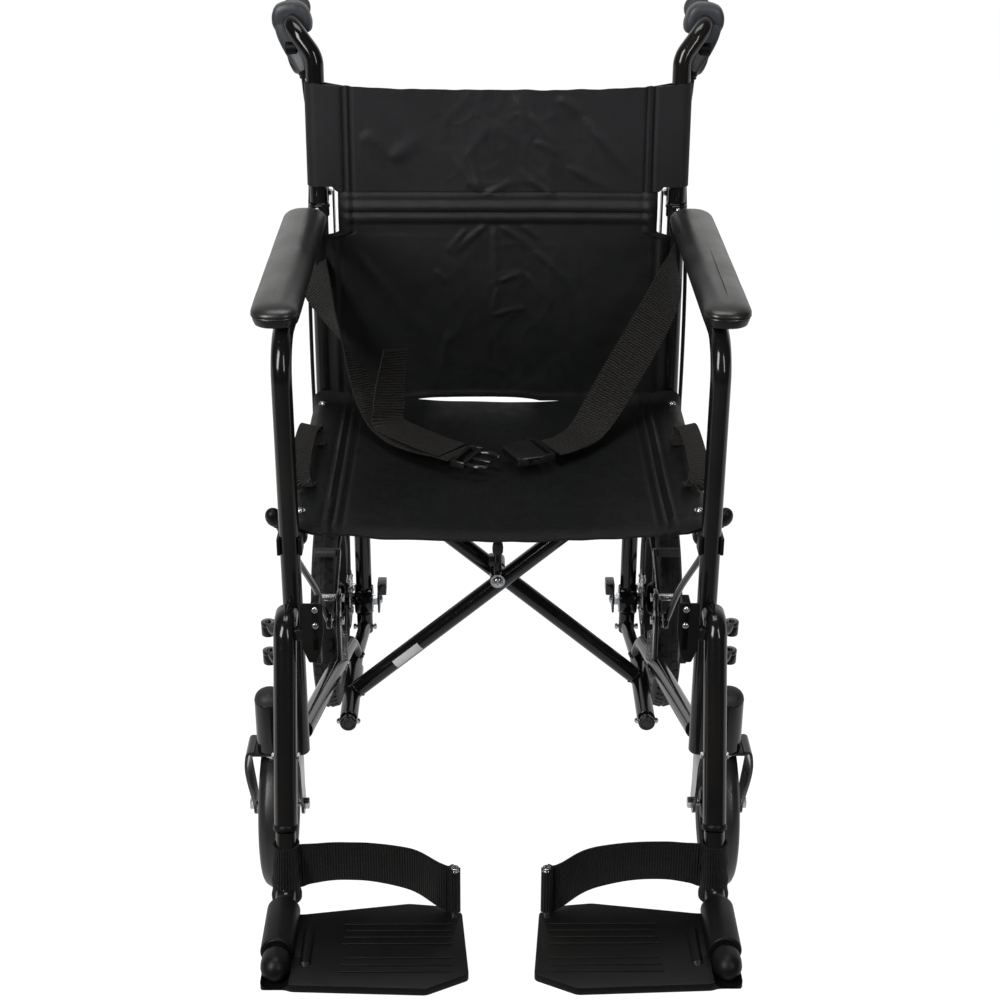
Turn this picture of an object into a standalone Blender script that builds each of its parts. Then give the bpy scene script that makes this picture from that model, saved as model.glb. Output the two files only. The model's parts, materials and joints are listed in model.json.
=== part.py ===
"""Folding transport wheelchair with swing-away footrests, a half-folding back and rear wheel brakes.

Metres, +Z up. The chair faces -Y and the occupant's left is +X. The origin is on the floor, at the
centre of the chair's box. Each side is built by the same functions with side = +1 (left) or -1 (right).
"""

import math

import bmesh
import bpy
from mathutils import Matrix, Vector

# ---------------------------------------------------------------- driving dimensions
GAP = 0.0003            # clearance between pieces that touch
TUBE_R = 0.0111         # 22.2 mm frame tube
HANGER_R = 0.0127       # 25.4 mm footrest hanger tube

ARM_X = 0.230           # plane of the front upright and the arm tube
CANE_X = 0.2235         # plane of the back canes and the seat rails
POST_X = 0.186          # plane of the lower rear post, inboard of the rear wheel
PIVOT_X = 0.191         # lower pivot of the cross brace
PIVOT_Z = 0.121

FRONT_Y = -0.169        # front upright
CANE_Y = 0.243          # cane at seat height
RECLINE = 0.07          # rearward lean of the canes, per metre of height
SEAT_Z = 0.4755         # centre of the seat rails
SEAT_FRONT = -0.152
SEAT_REAR = 0.213

ARM_Z = 0.7085          # centre of the arm tube under the pad
ARM_BEND = 0.045
PAD_FRONT = -0.164
PAD_REAR = 0.224
PAD_HALF_WIDTH = 0.0265
PAD_BASE_Z = 0.7200
PAD_TOP_Z = 0.7460

HINGE_Z = 0.745         # back folding hinge, behind the cane
HINGE_BACK = 0.0215
COLLAR_TOP = 0.7365
HINGE_FOOT = 0.7210
CANE_TOP = 0.915
BELT_HALF = 0.0240      # half width of the belt webbing
BELT_T = 0.0020
SEAT_OVERHANG = 0.014   # seat cloth behind the ends of the rails, as far as the canes allow

GRIP_X = 0.257
GRIP_Z = 0.951
GRIP_START = 0.315
GRIP_END = 0.432

REAR_R = 0.152
REAR_X = 0.232
REAR_Y = 0.305
REAR_TYRE_W = 0.034
POST_LOW_Z = 0.100

CASTER_R = 0.100
CASTER_W = 0.032
CASTER_X = 0.264
STEM_Y = -0.157
CASTER_TRAIL = 0.040

FRONT_TUBE_Y = 0.102    # cross tube that rises to the left
REAR_TUBE_Y = 0.135     # cross tube that rises to the right
SLEEVE_FRONT = 0.038
SLEEVE_REAR = 0.166
BRACE_BOLT_RISE = 0.010

HANGER_X = 0.2355
HANGER_TOP_Z = 0.385
HANGER_BEND_Y = -0.207
RING_Z = 0.190
TOE_Y = -0.322
TOE_Z = 0.120
BARREL_REAR = -0.343
BARREL_FRONT = -0.418
BALL_Y = -0.4335
PLATE_FRONT = -0.457
PLATE_REAR = -0.327
PLATE_INNER = 0.042
PLATE_OUTER = 0.250
PLATE_TOP = 0.113
PLATE_T = 0.010
POST_TOP = 0.176
SWING_X = 0.2570
SWING_Y = -0.182

BACK_TOP = 0.884
BACK_SPLIT = 0.7545
BACK_BOTTOM = 0.486
SLING_T = 0.0022

BRACE_SLOPE = math.atan2(SEAT_Z - PIVOT_Z, PIVOT_X + CANE_X)
BRACE_MID_Z = PIVOT_Z + math.tan(BRACE_SLOPE) * PIVOT_X
BOLT_Z = BRACE_MID_Z + BRACE_BOLT_RISE

LOCK_Y = 0.093          # wheel lock lever pivot
LOCK_Z = 0.235
SHOE_ANGLE = math.radians(130.0)
SHOE_R = 0.0065
SHOE_REACH = REAR_R + SHOE_R + 0.0075

BRAKE_X = 0.2062        # plane of the brake backing plate
BRAKE_CAM = (REAR_Y - 0.020, REAR_R + 0.030)
BRAKE_TIP = (REAR_Y - 0.050, REAR_R + 0.008)

POST_IN_X = 0.050       # heel-strap post on the footplate
POST_IN_Y = -0.340


def cane_y(z):
    """Y of the reclined cane centre line at height z."""
    return CANE_Y + RECLINE * (z - SEAT_Z)


# ---------------------------------------------------------------- scene, collections and materials
for old in list(bpy.data.objects):
    bpy.data.objects.remove(old, do_unlink=True)

chair = bpy.data.collections.new("transport_wheelchair")
cutters = bpy.data.collections.new("cutters")
bpy.context.scene.collection.children.link(chair)
bpy.context.scene.collection.children.link(cutters)

FINISHES = {
    "gloss_black_paint": ((0.008, 0.008, 0.009), 0.16, 0.0),
    "satin_black_plastic": ((0.016, 0.016, 0.017), 0.42, 0.0),
    "black_vinyl": ((0.014, 0.014, 0.015), 0.38, 0.0),
    "black_rubber": ((0.020, 0.020, 0.021), 0.62, 0.0),
    "grey_tyre": ((0.075, 0.072, 0.070), 0.70, 0.0),
    "black_nylon": ((0.018, 0.018, 0.020), 0.72, 0.0),
    "black_webbing": ((0.012, 0.011, 0.010), 0.80, 0.0),
    "zinc_steel": ((0.62, 0.63, 0.64), 0.30, 1.0),
}


def material(name):
    """Return the named Principled finish, made on first use."""
    found = bpy.data.materials.get(name)
    if found:
        return found
    colour, roughness, metallic = FINISHES[name]
    made = bpy.data.materials.new(name)
    made.use_nodes = True
    shader = made.node_tree.nodes["Principled BSDF"]
    shader.inputs["Base Color"].default_value = (*colour, 1.0)
    shader.inputs["Roughness"].default_value = roughness
    shader.inputs["Metallic"].default_value = metallic
    return made


# ---------------------------------------------------------------- modelling helpers
def link(obj, finish=None):
    """Put an object in the chair's collection and give it its own finish."""
    chair.objects.link(obj)
    if finish:
        obj.data.materials.clear()
        obj.data.materials.append(material(finish).copy())
        obj.data.materials[0].name = obj.name + "_" + finish
    return obj


def smooth(obj, degrees=40.0):
    """Shade an object smooth and keep its sharp edges."""
    obj.data.shade_smooth()
    obj.data.set_sharp_from_angle(angle=math.radians(degrees))
    return obj


def temp(name, mesh):
    """Wrap a mesh in an object that other steps consume."""
    obj = bpy.data.objects.new(name, mesh)
    cutters.objects.link(obj)
    obj.hide_render = True
    obj.display_type = "WIRE"
    return obj


def evaluated(obj):
    """Mesh of an object after its modifiers, in the object's own space."""
    bpy.context.view_layer.update()
    graph = bpy.context.evaluated_depsgraph_get()
    return bpy.data.meshes.new_from_object(obj.evaluated_get(graph))


def combine(first, others, operation="UNION"):
    """Join or cut the first object with each of the others, which are used up."""
    for other in others:
        step = first.modifiers.new("step", "BOOLEAN")
        step.operation = operation
        step.solver = "EXACT"
        step.object = other
        mesh = evaluated(first)
        first.modifiers.clear()
        first.data = mesh
        bpy.data.objects.remove(other, do_unlink=True)
    return first


def filleted(points, radii, steps=5):
    """Round the inner corners of a polyline with arcs."""
    path = [Vector(points[0])]
    for before, corner, after, radius in zip(points, points[1:], points[2:], radii):
        corner = Vector(corner)
        back = (Vector(before) - corner).normalized()
        ahead = (Vector(after) - corner).normalized()
        half = back.angle(ahead) / 2.0
        reach = radius / math.tan(half)
        centre = corner + (back + ahead).normalized() * (radius / math.sin(half))
        start = corner + back * reach - centre
        end = corner + ahead * reach - centre
        for i in range(steps + 1):
            path.append(centre + start.normalized().slerp(end.normalized(), i / steps) * radius)
    path.append(Vector(points[-1]))
    return path


def flowing(points, steps=4):
    """Smooth curve through all the points (Catmull-Rom)."""
    knots = [Vector(p) for p in points]
    knots = [2 * knots[0] - knots[1]] + knots + [2 * knots[-1] - knots[-2]]
    path = []
    for a, b, c, d in zip(knots, knots[1:], knots[2:], knots[3:]):
        for i in range(steps):
            t = i / steps
            path.append(0.5 * (2 * b + (c - a) * t + (2 * a - 5 * b + 4 * c - d) * t ** 2
                               + (3 * b - a - 3 * c + d) * t ** 3))
    path.append(knots[-2])
    return path


def tube(name, path, radius, resolution=3):
    """Solid round bar along a path, as a closed mesh."""
    curve = bpy.data.curves.new(name, "CURVE")
    curve.dimensions = "3D"
    curve.bevel_depth = radius
    curve.bevel_resolution = resolution
    curve.use_fill_caps = True
    curve.render_resolution_u = 0
    spline = curve.splines.new("POLY")
    spline.points.add(len(path) - 1)
    for point, place in zip(spline.points, path):
        point.co = (*place, 1.0)
    holder = bpy.data.objects.new(name + "_curve", curve)
    chair.objects.link(holder)
    mesh = evaluated(holder)
    welded = bmesh.new()
    welded.from_mesh(mesh)
    bmesh.ops.remove_doubles(welded, verts=welded.verts, dist=0.00002)
    bmesh.ops.recalc_face_normals(welded, faces=welded.faces)
    welded.to_mesh(mesh)
    welded.free()
    obj = temp(name, mesh)
    obj.matrix_world = holder.matrix_world.copy()
    bpy.data.objects.remove(holder, do_unlink=True)
    bpy.data.curves.remove(curve)
    return obj


def aimed(direction):
    """Rotation that turns +Z to a direction."""
    return Vector((0, 0, 1)).rotation_difference(Vector(direction).normalized()).to_matrix().to_4x4()


def baked(name, shape, place):
    """Object from a bmesh moved by a matrix."""
    bmesh.ops.transform(shape, matrix=place, verts=shape.verts)
    mesh = bpy.data.meshes.new(name)
    shape.to_mesh(mesh)
    shape.free()
    return temp(name, mesh)


def cylinder(name, start, end, radius, sides=24, end_radius=None):
    """Closed cylinder or cone between two points."""
    start, end = Vector(start), Vector(end)
    shape = bmesh.new()
    bmesh.ops.create_cone(shape, cap_ends=True, segments=sides, radius1=radius,
                          radius2=radius if end_radius is None else end_radius,
                          depth=(end - start).length)
    return baked(name, shape, Matrix.Translation((start + end) / 2) @ aimed(end - start))


def box(name, low, high, bevel=0.0, turn=None):
    """Closed box between two corners, with edges rounded and turned about its centre if asked."""
    low, high = Vector(low), Vector(high)
    shape = bmesh.new()
    bmesh.ops.create_cube(shape, size=1.0)
    size = high - low
    sized = Matrix.Diagonal((abs(size.x), abs(size.y), abs(size.z), 1.0))
    bmesh.ops.transform(shape, matrix=sized, verts=shape.verts)
    if bevel:
        bmesh.ops.bevel(shape, geom=shape.edges[:], offset=bevel, segments=2, affect="EDGES", profile=0.5)
    place = Matrix.Translation((low + high) / 2)
    if turn:
        place = place @ turn
    return baked(name, shape, place)


def turned(name, profile, centre, axis, steps=32, closed=False):
    """Lathe a profile of (radius, height) pairs, listed top to bottom on its outer side, about an axis."""
    mesh = bpy.data.meshes.new(name)
    verts = [(radius, 0.0, height) for radius, height in profile]
    edges = [(i, i + 1) for i in range(len(verts) - 1)]
    if closed:
        edges.append((len(verts) - 1, 0))
    mesh.from_pydata(verts, edges, [])
    obj = temp(name, mesh)
    screw = obj.modifiers.new("turn", "SCREW")
    screw.steps = steps
    screw.render_steps = steps
    screw.use_merge_vertices = True
    screw.merge_threshold = 0.00002
    screw.use_normal_calculate = True
    solid = evaluated(obj)
    obj.modifiers.clear()
    shape = bmesh.new()
    shape.from_mesh(solid)
    bmesh.ops.recalc_face_normals(shape, faces=shape.faces)
    place = Matrix.Translation(centre) @ aimed(axis)
    bmesh.ops.transform(shape, matrix=place, verts=shape.verts)
    shape.to_mesh(solid)
    shape.free()
    obj.data = solid
    return obj


def slab(name, outline, thickness, place, bevel=0.0):
    """Flat plate from an outline in its own XY plane, centred on it, moved by a matrix."""
    curve = bpy.data.curves.new(name, "CURVE")
    curve.dimensions = "2D"
    curve.fill_mode = "BOTH"
    curve.extrude = thickness / 2 - bevel
    curve.bevel_depth = bevel
    curve.bevel_resolution = 1
    curve.offset = -bevel
    curve.render_resolution_u = 0
    spline = curve.splines.new("POLY")
    spline.points.add(len(outline) - 1)
    for point, (x, y) in zip(spline.points, outline):
        point.co = (x, y, 0.0, 1.0)
    spline.use_cyclic_u = True
    holder = bpy.data.objects.new(name + "_outline", curve)
    chair.objects.link(holder)
    mesh = evaluated(holder)
    shape = bmesh.new()
    shape.from_mesh(mesh)
    bmesh.ops.remove_doubles(shape, verts=shape.verts, dist=0.00002)
    bmesh.ops.recalc_face_normals(shape, faces=shape.faces)
    bpy.data.objects.remove(holder, do_unlink=True)
    bpy.data.curves.remove(curve)
    bpy.data.meshes.remove(mesh)
    return baked(name, shape, place)


def sheet(name, rows, thickness):
    """Cloth or webbing: a grid of points given row by row, thickened evenly."""
    across = len(rows[0])
    mesh = bpy.data.meshes.new(name)
    verts = [tuple(p) for row in rows for p in row]
    faces = []
    for r in range(len(rows) - 1):
        for c in range(across - 1):
            a = r * across + c
            faces.append((a, a + 1, a + across + 1, a + across))
    mesh.from_pydata(verts, [], faces)
    obj = temp(name, mesh)
    skin = obj.modifiers.new("skin", "SOLIDIFY")
    skin.thickness = thickness
    skin.offset = 0.0
    skin.use_even_offset = True
    obj.data = evaluated(obj)
    obj.modifiers.clear()
    return obj


def finish(obj, name, look, smooth_angle=40.0):
    """Turn a working object into a named piece of the chair."""
    cutters.objects.unlink(obj)
    obj.name = name
    obj.hide_render = False
    obj.display_type = "TEXTURED"
    link(obj, look)
    return smooth(obj, smooth_angle)


bodies = {}


def body(name, pivot):
    """Empty on a moving body's axis."""
    empty = bpy.data.objects.new("axis_" + name, None)
    empty.empty_display_size = 0.03
    empty.location = pivot
    chair.objects.link(empty)
    bodies[name] = empty


def carry(name, *pieces):
    """Parent pieces to a body's empty where they stand."""
    bpy.context.view_layer.update()
    for piece in pieces:
        piece.parent = bodies[name]
        piece.matrix_parent_inverse = bodies[name].matrix_world.inverted()


# ---------------------------------------------------------------- side frame
def arm_frame(tag, s):
    """Front upright and arm tube in one bend, with the two footrest hinge lugs."""
    x = s * ARM_X
    path = filleted([(x, FRONT_Y, 0.212), (x, FRONT_Y, ARM_Z), (x, cane_y(ARM_Z) - TUBE_R - GAP, ARM_Z)],
                    [ARM_BEND], 6)
    frame = tube("arm_frame", path, TUBE_R)
    plug = cylinder("plug", (x, FRONT_Y, 0.2085), (x, FRONT_Y, 0.2125), 0.0108, 12)
    lugs = []
    for z in (0.3790, 0.3430):
        lug = slab("lug", lug_outline(s), 0.005, Matrix.Translation((0, 0, z)))
        hole = cylinder("hole", (s * SWING_X, SWING_Y, z - 0.01), (s * SWING_X, SWING_Y, z + 0.01), 0.0037,
                        8)
        lugs.append(combine(lug, [hole], "DIFFERENCE"))
    return finish(combine(frame, [plug] + lugs), "arm_frame_" + tag, "gloss_black_paint")


def lug_outline(s):
    """Rounded hinge lug that reaches outboard from the front upright to the swing pin."""
    points = []
    for i in range(7):
        turn = math.radians(-90.0 + 30.0 * i)
        points.append((s * (SWING_X + 0.0075 * math.cos(turn)), SWING_Y + 0.0075 * math.sin(turn)))
    points += [(s * (ARM_X + 0.004), FRONT_Y + 0.006), (s * (ARM_X + 0.004), SWING_Y + 0.006),
               (s * (SWING_X - 0.0075), SWING_Y + 0.0020)]
    return points


def rear_post(tag, s):
    """Lower cane, its inward bend behind the seat and the rear post with the axle boss."""
    points = [(s * CANE_X, cane_y(0.7275), 0.7275), (s * CANE_X, cane_y(0.43), 0.43),
              (s * POST_X, REAR_Y, 0.315), (s * POST_X, REAR_Y, POST_LOW_Z)]
    post = tube("rear_post", filleted(points, [0.06, 0.06], 5), TUBE_R)
    boss = cylinder("boss", (s * (POST_X - 0.0125), REAR_Y, REAR_R),
                    (s * (POST_X + 0.0125), REAR_Y, REAR_R), 0.021, 18)
    bore = cylinder("bore", (s * 0.16, REAR_Y, REAR_R), (s * 0.22, REAR_Y, REAR_R), 0.0063, 14)
    combine(post, [boss])
    return finish(combine(post, [bore], "DIFFERENCE"), "rear_post_" + tag, "gloss_black_paint")


def side_rail(tag, s):
    """Lower side tube that rises over the brace pivot bar, with the bar and the wheel lock bracket."""
    front = (s * (ARM_X - 0.003), FRONT_Y + TUBE_R + 0.0030, 0.228)
    apex = (s * 0.1985, 0.186, 0.1500)
    foot = (s * (PIVOT_X + 0.001), 0.192, PIVOT_Z)
    rail = tube("side_rail", filleted([front, apex, foot], [0.018], 5), TUBE_R)
    bar = tube("bar", [Vector((s * PIVOT_X, 0.0285, PIVOT_Z)), Vector((s * PIVOT_X, 0.20, PIVOT_Z)),
                       Vector((s * POST_X, REAR_Y - TUBE_R - 0.0012, 0.112))], 0.0090)
    cap = cylinder("cap", (s * PIVOT_X, 0.0250, PIVOT_Z), (s * PIVOT_X, 0.0300, PIVOT_Z), 0.0106, 24)
    bolt = cylinder("bolt", (s * (PIVOT_X - 0.0150), 0.0335, PIVOT_Z),
                    (s * (PIVOT_X + 0.0150), 0.0335, PIVOT_Z), 0.0028, 12)
    plate = box("plate", (s * 0.2010, LOCK_Y - 0.016, 0.160), (s * 0.2060, LOCK_Y + 0.016, LOCK_Z + 0.016))
    return finish(combine(rail, [bar, cap, bolt, plate]), "side_rail_" + tag, "gloss_black_paint")


def seat_rail(tag, s):
    """Tube along the edge of the seat, plugged at both ends."""
    rail = tube("seat_rail", [Vector((s * CANE_X, SEAT_FRONT, SEAT_Z)),
                              Vector((s * CANE_X, SEAT_REAR, SEAT_Z))], TUBE_R)
    plugs = [cylinder("plug", (s * CANE_X, y0, SEAT_Z), (s * CANE_X, y1, SEAT_Z), 0.0106, 12)
             for y0, y1 in ((SEAT_FRONT - 0.0025, SEAT_FRONT + 0.001),
                            (SEAT_REAR - 0.001, SEAT_REAR + 0.0025))]
    return finish(combine(rail, plugs), "seat_rail_" + tag, "gloss_black_paint")


def hinge_point(s):
    """Axis of the folding back on one side."""
    return Vector((s * CANE_X, cane_y(HINGE_Z) + HINGE_BACK, HINGE_Z))


def push_cane(tag, s):
    """Upper cane with its hinge knuckle: up the back, then outward and back into the push handle."""
    low = COLLAR_TOP + 0.0016
    points = [(s * CANE_X, cane_y(low), low), (s * CANE_X, cane_y(CANE_TOP), CANE_TOP),
              (s * (GRIP_X - 0.005), GRIP_START - 0.028, GRIP_Z),
              (s * GRIP_X, GRIP_END - 0.004, GRIP_Z - 0.004)]
    cane = tube("push_cane", filleted(points, [0.030, 0.030], 5), TUBE_R)
    pin = hinge_point(s)
    knuckle = cylinder("knuckle", pin - Vector((0.0050, 0, 0)), pin + Vector((0.0050, 0, 0)), 0.0065, 12)
    web = box("web", (pin.x - 0.0042, pin.y - 0.0150, pin.z - 0.0030),
              (pin.x + 0.0042, pin.y, pin.z + 0.0055))
    return finish(combine(cane, [knuckle, web]), "push_cane_" + tag, "gloss_black_paint")


def back_hinge(tag, s):
    """Collar on top of the lower cane with two ears that hold the knuckle of the upper cane."""
    low = HINGE_FOOT
    pin = hinge_point(s)
    collar = turned("collar", [(0.0, COLLAR_TOP - low), (0.0134, COLLAR_TOP - low), (0.0134, 0.0),
                               (TUBE_R + GAP, 0.0), (TUBE_R + GAP, 0.0075), (0.0, 0.0075)],
                               (s * CANE_X, cane_y(low), low),
                    (0, RECLINE, 1), 20)
    ears = []
    for side in (-1.0, 1.0):
        x = pin.x + side * 0.0083
        ears.append(cylinder("ear", (x - 0.0028, pin.y, pin.z), (x + 0.0028, pin.y, pin.z), 0.0065, 12))
        ears.append(box("arm", (x - 0.0026, pin.y - 0.0200, low + 0.0082),
                        (x + 0.0026, pin.y + 0.0015, pin.z - 0.0088)))
        ears.append(box("rise", (x - 0.0024, pin.y - 0.0060, low + 0.0086),
                        (x + 0.0024, pin.y + 0.0040, pin.z)))
    return finish(combine(collar, ears), "back_hinge_" + tag, "satin_black_plastic")


def handle_grip(tag, s):
    """Moulded handle: a sleeve over the push tube with the brake lever housing at its front."""
    length = GRIP_END - GRIP_START
    inner = TUBE_R + GAP
    profile = [(0.0, 0.0065), (0.0120, 0.0060), (0.0160, 0.0), (0.0172, -0.010), (0.0150, -0.030),
               (0.0158, -0.060),
               (0.0150, -0.090), (0.0175, -length), (inner, -length), (inner, -0.0010), (0.0, -0.0010)]
    direction = Vector((s * 0.005, GRIP_END - GRIP_START + 0.024, -0.004)).normalized()
    end = Vector((s * GRIP_X, GRIP_END - 0.004, GRIP_Z - 0.004)) + direction * 0.005
    grip = turned("handle_grip", profile, end, direction, 18)
    return finish(grip, "handle_grip_" + tag, "black_rubber")


def brake_lever(tag, s):
    """Hand brake lever with its pivot barrel, under the front of the handle."""
    pivot = Vector((s * (GRIP_X - 0.004), GRIP_START - 0.018, GRIP_Z - 0.030))
    barrel = cylinder("barrel", pivot + Vector((-0.013, 0, 0)), pivot + Vector((0.013, 0, 0)), 0.0095, 16)
    blade = tube("blade", flowing([pivot, pivot + Vector((s * 0.002, 0.006, -0.018)),
                                   pivot + Vector((s * 0.002, 0.030, -0.034)),
                                   pivot + Vector((s * 0.002, 0.072, -0.040)),
                                   pivot + Vector((s * 0.002, 0.112, -0.046))], 3), 0.0052, 2)
    return finish(combine(barrel, [blade]), "brake_lever_" + tag, "satin_black_plastic")


def arm_pad(tag, s):
    """Padded armrest: a long rounded block on the arm tube."""
    x = s * (ARM_X + 0.006)
    outline = []
    nose = PAD_HALF_WIDTH - 0.004
    for centre, first in ((PAD_REAR - nose, 0.0), (PAD_FRONT + nose, 180.0)):
        for i in range(7):
            turn = math.radians(first + 30.0 * i)
            outline.append((x + PAD_HALF_WIDTH * math.cos(turn), centre + nose * math.sin(turn)))
    middle = (PAD_BASE_Z + PAD_TOP_Z) / 2
    pad = slab("arm_pad", outline, PAD_TOP_Z - PAD_BASE_Z, Matrix.Translation((0, 0, middle)), 0.006)
    return finish(pad, "arm_pad_" + tag, "black_vinyl")


# ---------------------------------------------------------------- casters
def caster_housing(tag, s):
    """Stem housing with its domed cap and the web that joins it to the front upright."""
    profile = [(0.0, 0.078), (0.0070, 0.0765), (0.0120, 0.0725), (0.0145, 0.0670), (0.0145, 0.0),
               (0.0068, 0.0), (0.0068, 0.060), (0.0, 0.060)]
    shell = turned("caster_housing", profile, (s * CASTER_X, STEM_Y, 0.2065), (0, 0, 1), 20)
    web = box("web", (s * 0.2412, STEM_Y - 0.008, 0.216), (s * 0.2530, STEM_Y + 0.004, 0.268))
    return finish(combine(shell, [web]), "caster_housing_" + tag, "satin_black_plastic")


def caster_fork(tag, s):
    """Bent fork with its stem, its two legs swept back to the caster axle."""
    x = s * CASTER_X
    axle_y = STEM_Y + CASTER_TRAIL
    stem = cylinder("stem", (x, STEM_Y, 0.196), (x, STEM_Y, 0.262), 0.0060, 16)
    crown = slab("crown", [(-0.029, -0.014), (0.029, -0.014), (0.029, 0.026), (-0.029, 0.026)], 0.005,
                 Matrix.Translation((x, STEM_Y, 0.2030)))
    legs = []
    for side in (-1.0, 1.0):
        outline = [(-0.013, 0.2046), (0.025, 0.2046), (0.034, 0.170), (CASTER_TRAIL + 0.014, 0.104),
                   (CASTER_TRAIL + 0.008, 0.088), (CASTER_TRAIL - 0.008, 0.088),
                   (CASTER_TRAIL - 0.014, 0.104),
                   (-0.006, 0.170)]
        upright = Matrix.Translation((x + side * 0.0275, STEM_Y, 0)) @ Matrix(
            ((0, 0, 1, 0), (1, 0, 0, 0), (0, 1, 0, 0), (0, 0, 0, 1)))
        legs.append(slab("leg", outline, 0.004, upright))
    axle = cylinder("axle", (x - 0.034, axle_y, CASTER_R), (x + 0.034, axle_y, CASTER_R), 0.0040, 16)
    nuts = [cylinder("nut", (x + side * 0.029, axle_y, CASTER_R), (x + side * 0.0352, axle_y, CASTER_R),
                     0.0080, 6)
            for side in (-1.0, 1.0)]
    return finish(combine(crown, [stem] + legs + [axle] + nuts), "caster_fork_" + tag, "gloss_black_paint")


def caster_wheel(tag, s):
    """Caster hub and web, and its solid tyre as a second piece."""
    centre = (s * CASTER_X, STEM_Y + CASTER_TRAIL, CASTER_R)
    hub = turned("caster_wheel", [(0.0190, 0.0200), (0.0230, 0.0050), (0.0700, 0.0050), (0.0760, 0.0120),
                                  (0.0760, -0.0120), (0.0700, -0.0050), (0.0230, -0.0050),
                                  (0.0190, -0.0200),
                                  (0.0043, -0.0200), (0.0043, 0.0200)], centre, (1, 0, 0), 26, closed=True)
    half = CASTER_W / 2
    tread = turned("caster_tyre", [(0.0764, 0.0120), (0.0850, half), (0.0960, half - 0.004),
                                   (CASTER_R, 0.005),
                                   (CASTER_R, -0.005), (0.0960, 0.004 - half), (0.0850, -half),
                                   (0.0764, -0.0120)], centre, (1, 0, 0), 32, closed=True)
    return (finish(hub, "caster_wheel_" + tag, "satin_black_plastic", 30.0),
            finish(tread, "caster_tyre_" + tag, "grey_tyre"))


# ---------------------------------------------------------------- rear wheels and brakes
def rear_wheel(tag, s):
    """Rear wheel: six moulded spokes between hub and rim, and its tyre as a second piece."""
    centre = Vector((s * REAR_X, REAR_Y, REAR_R))
    hub = turned("hub", [(0.0230, 0.0190), (0.0230, -0.0190), (0.0064, -0.0190), (0.0064, 0.0190)],
                 centre, (1, 0, 0), 20, closed=True)
    rim = turned("rim", [(0.1120, 0.0130), (0.1215, 0.0130), (0.1190, 0.0), (0.1215, -0.0130),
                         (0.1120, -0.0130)],
                 centre, (1, 0, 0), 36, closed=True)
    spokes = []
    for i in range(6):
        turn = math.radians(60.0 * i + 30.0)
        out = Vector((0, math.cos(turn), math.sin(turn)))
        spokes.append(cylinder("spoke", centre + out * 0.0200, centre + out * 0.1140, 0.0085, 6, 0.0065))
    wheel = combine(hub, spokes + [rim])
    half = REAR_TYRE_W / 2
    tread = turned("rear_tyre", [(0.1193, 0.0), (0.1218, 0.0130), (0.1320, half), (0.1460, half - 0.004),
                                 (REAR_R, 0.006), (REAR_R, -0.006), (0.1460, 0.004 - half), (0.1320, -half),
                                 (0.1218, -0.0130)], centre, (1, 0, 0), 36, closed=True)
    return (finish(wheel, "rear_wheel_" + tag, "satin_black_plastic", 30.0),
            finish(tread, "rear_tyre_" + tag, "black_rubber"))


def rear_axle(tag, s):
    """Axle bolt with its spacer, from the nut inboard of the post to the head outboard of the wheel."""
    profile = [(0.0, 0.0280), (0.0100, 0.0260), (0.0100, 0.0193), (0.0060, 0.0193), (0.0060, -0.0193),
               (0.0085, -0.0193), (0.0085, -0.0332), (0.0060, -0.0332), (0.0060, -0.0588),
               (0.0085, -0.0588),
               (0.0085, -0.0678), (0.0060, -0.0698), (0.0, -0.0698)]
    axle = turned("rear_axle", profile, (s * REAR_X, REAR_Y, REAR_R), (s, 0, 0), 14)
    return finish(axle, "rear_axle_" + tag, "zinc_steel", 30.0)


def brake_plate(tag, s):
    """Backing plate of the rear brake with its cable anchor, held on the axle spacer."""
    profile = [(0.0420, 0.0013), (0.0420, -0.0013), (0.0088, -0.0013), (0.0088, 0.0013)]
    plate = turned("plate", profile, (s * BRAKE_X, REAR_Y, REAR_R), (1, 0, 0), 22, closed=True)
    y, z = REAR_Y - 0.036, REAR_R + 0.036
    ear = cylinder("ear", (s * (BRAKE_X - 0.0012), y, z), (s * (BRAKE_X + 0.0012), y, z), 0.0120, 16)
    anchor = cylinder("anchor", (s * (BRAKE_X - 0.0060), y, z), (s * (BRAKE_X + 0.0020), y, z), 0.0062, 12)
    return finish(combine(plate, [ear, anchor]), "brake_plate_" + tag, "satin_black_plastic", 30.0)


def brake_arm(tag, s):
    """Cam arm of the rear brake, pulled up by the cable."""
    x = s * (BRAKE_X - 0.0042)
    cam, tip = BRAKE_CAM, BRAKE_TIP
    hub = cylinder("cam", (x - 0.0022, *cam), (x + 0.0022, *cam), 0.0075, 16)
    arm = tube("arm", [Vector((x, *cam)), Vector((x, *tip))], 0.0024, 2)
    eye = cylinder("eye", (x - 0.0045, *tip), (x + 0.0018, *tip), 0.0042, 12)
    return finish(combine(hub, [arm, eye]), "brake_arm_" + tag, "zinc_steel", 30.0)


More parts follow.
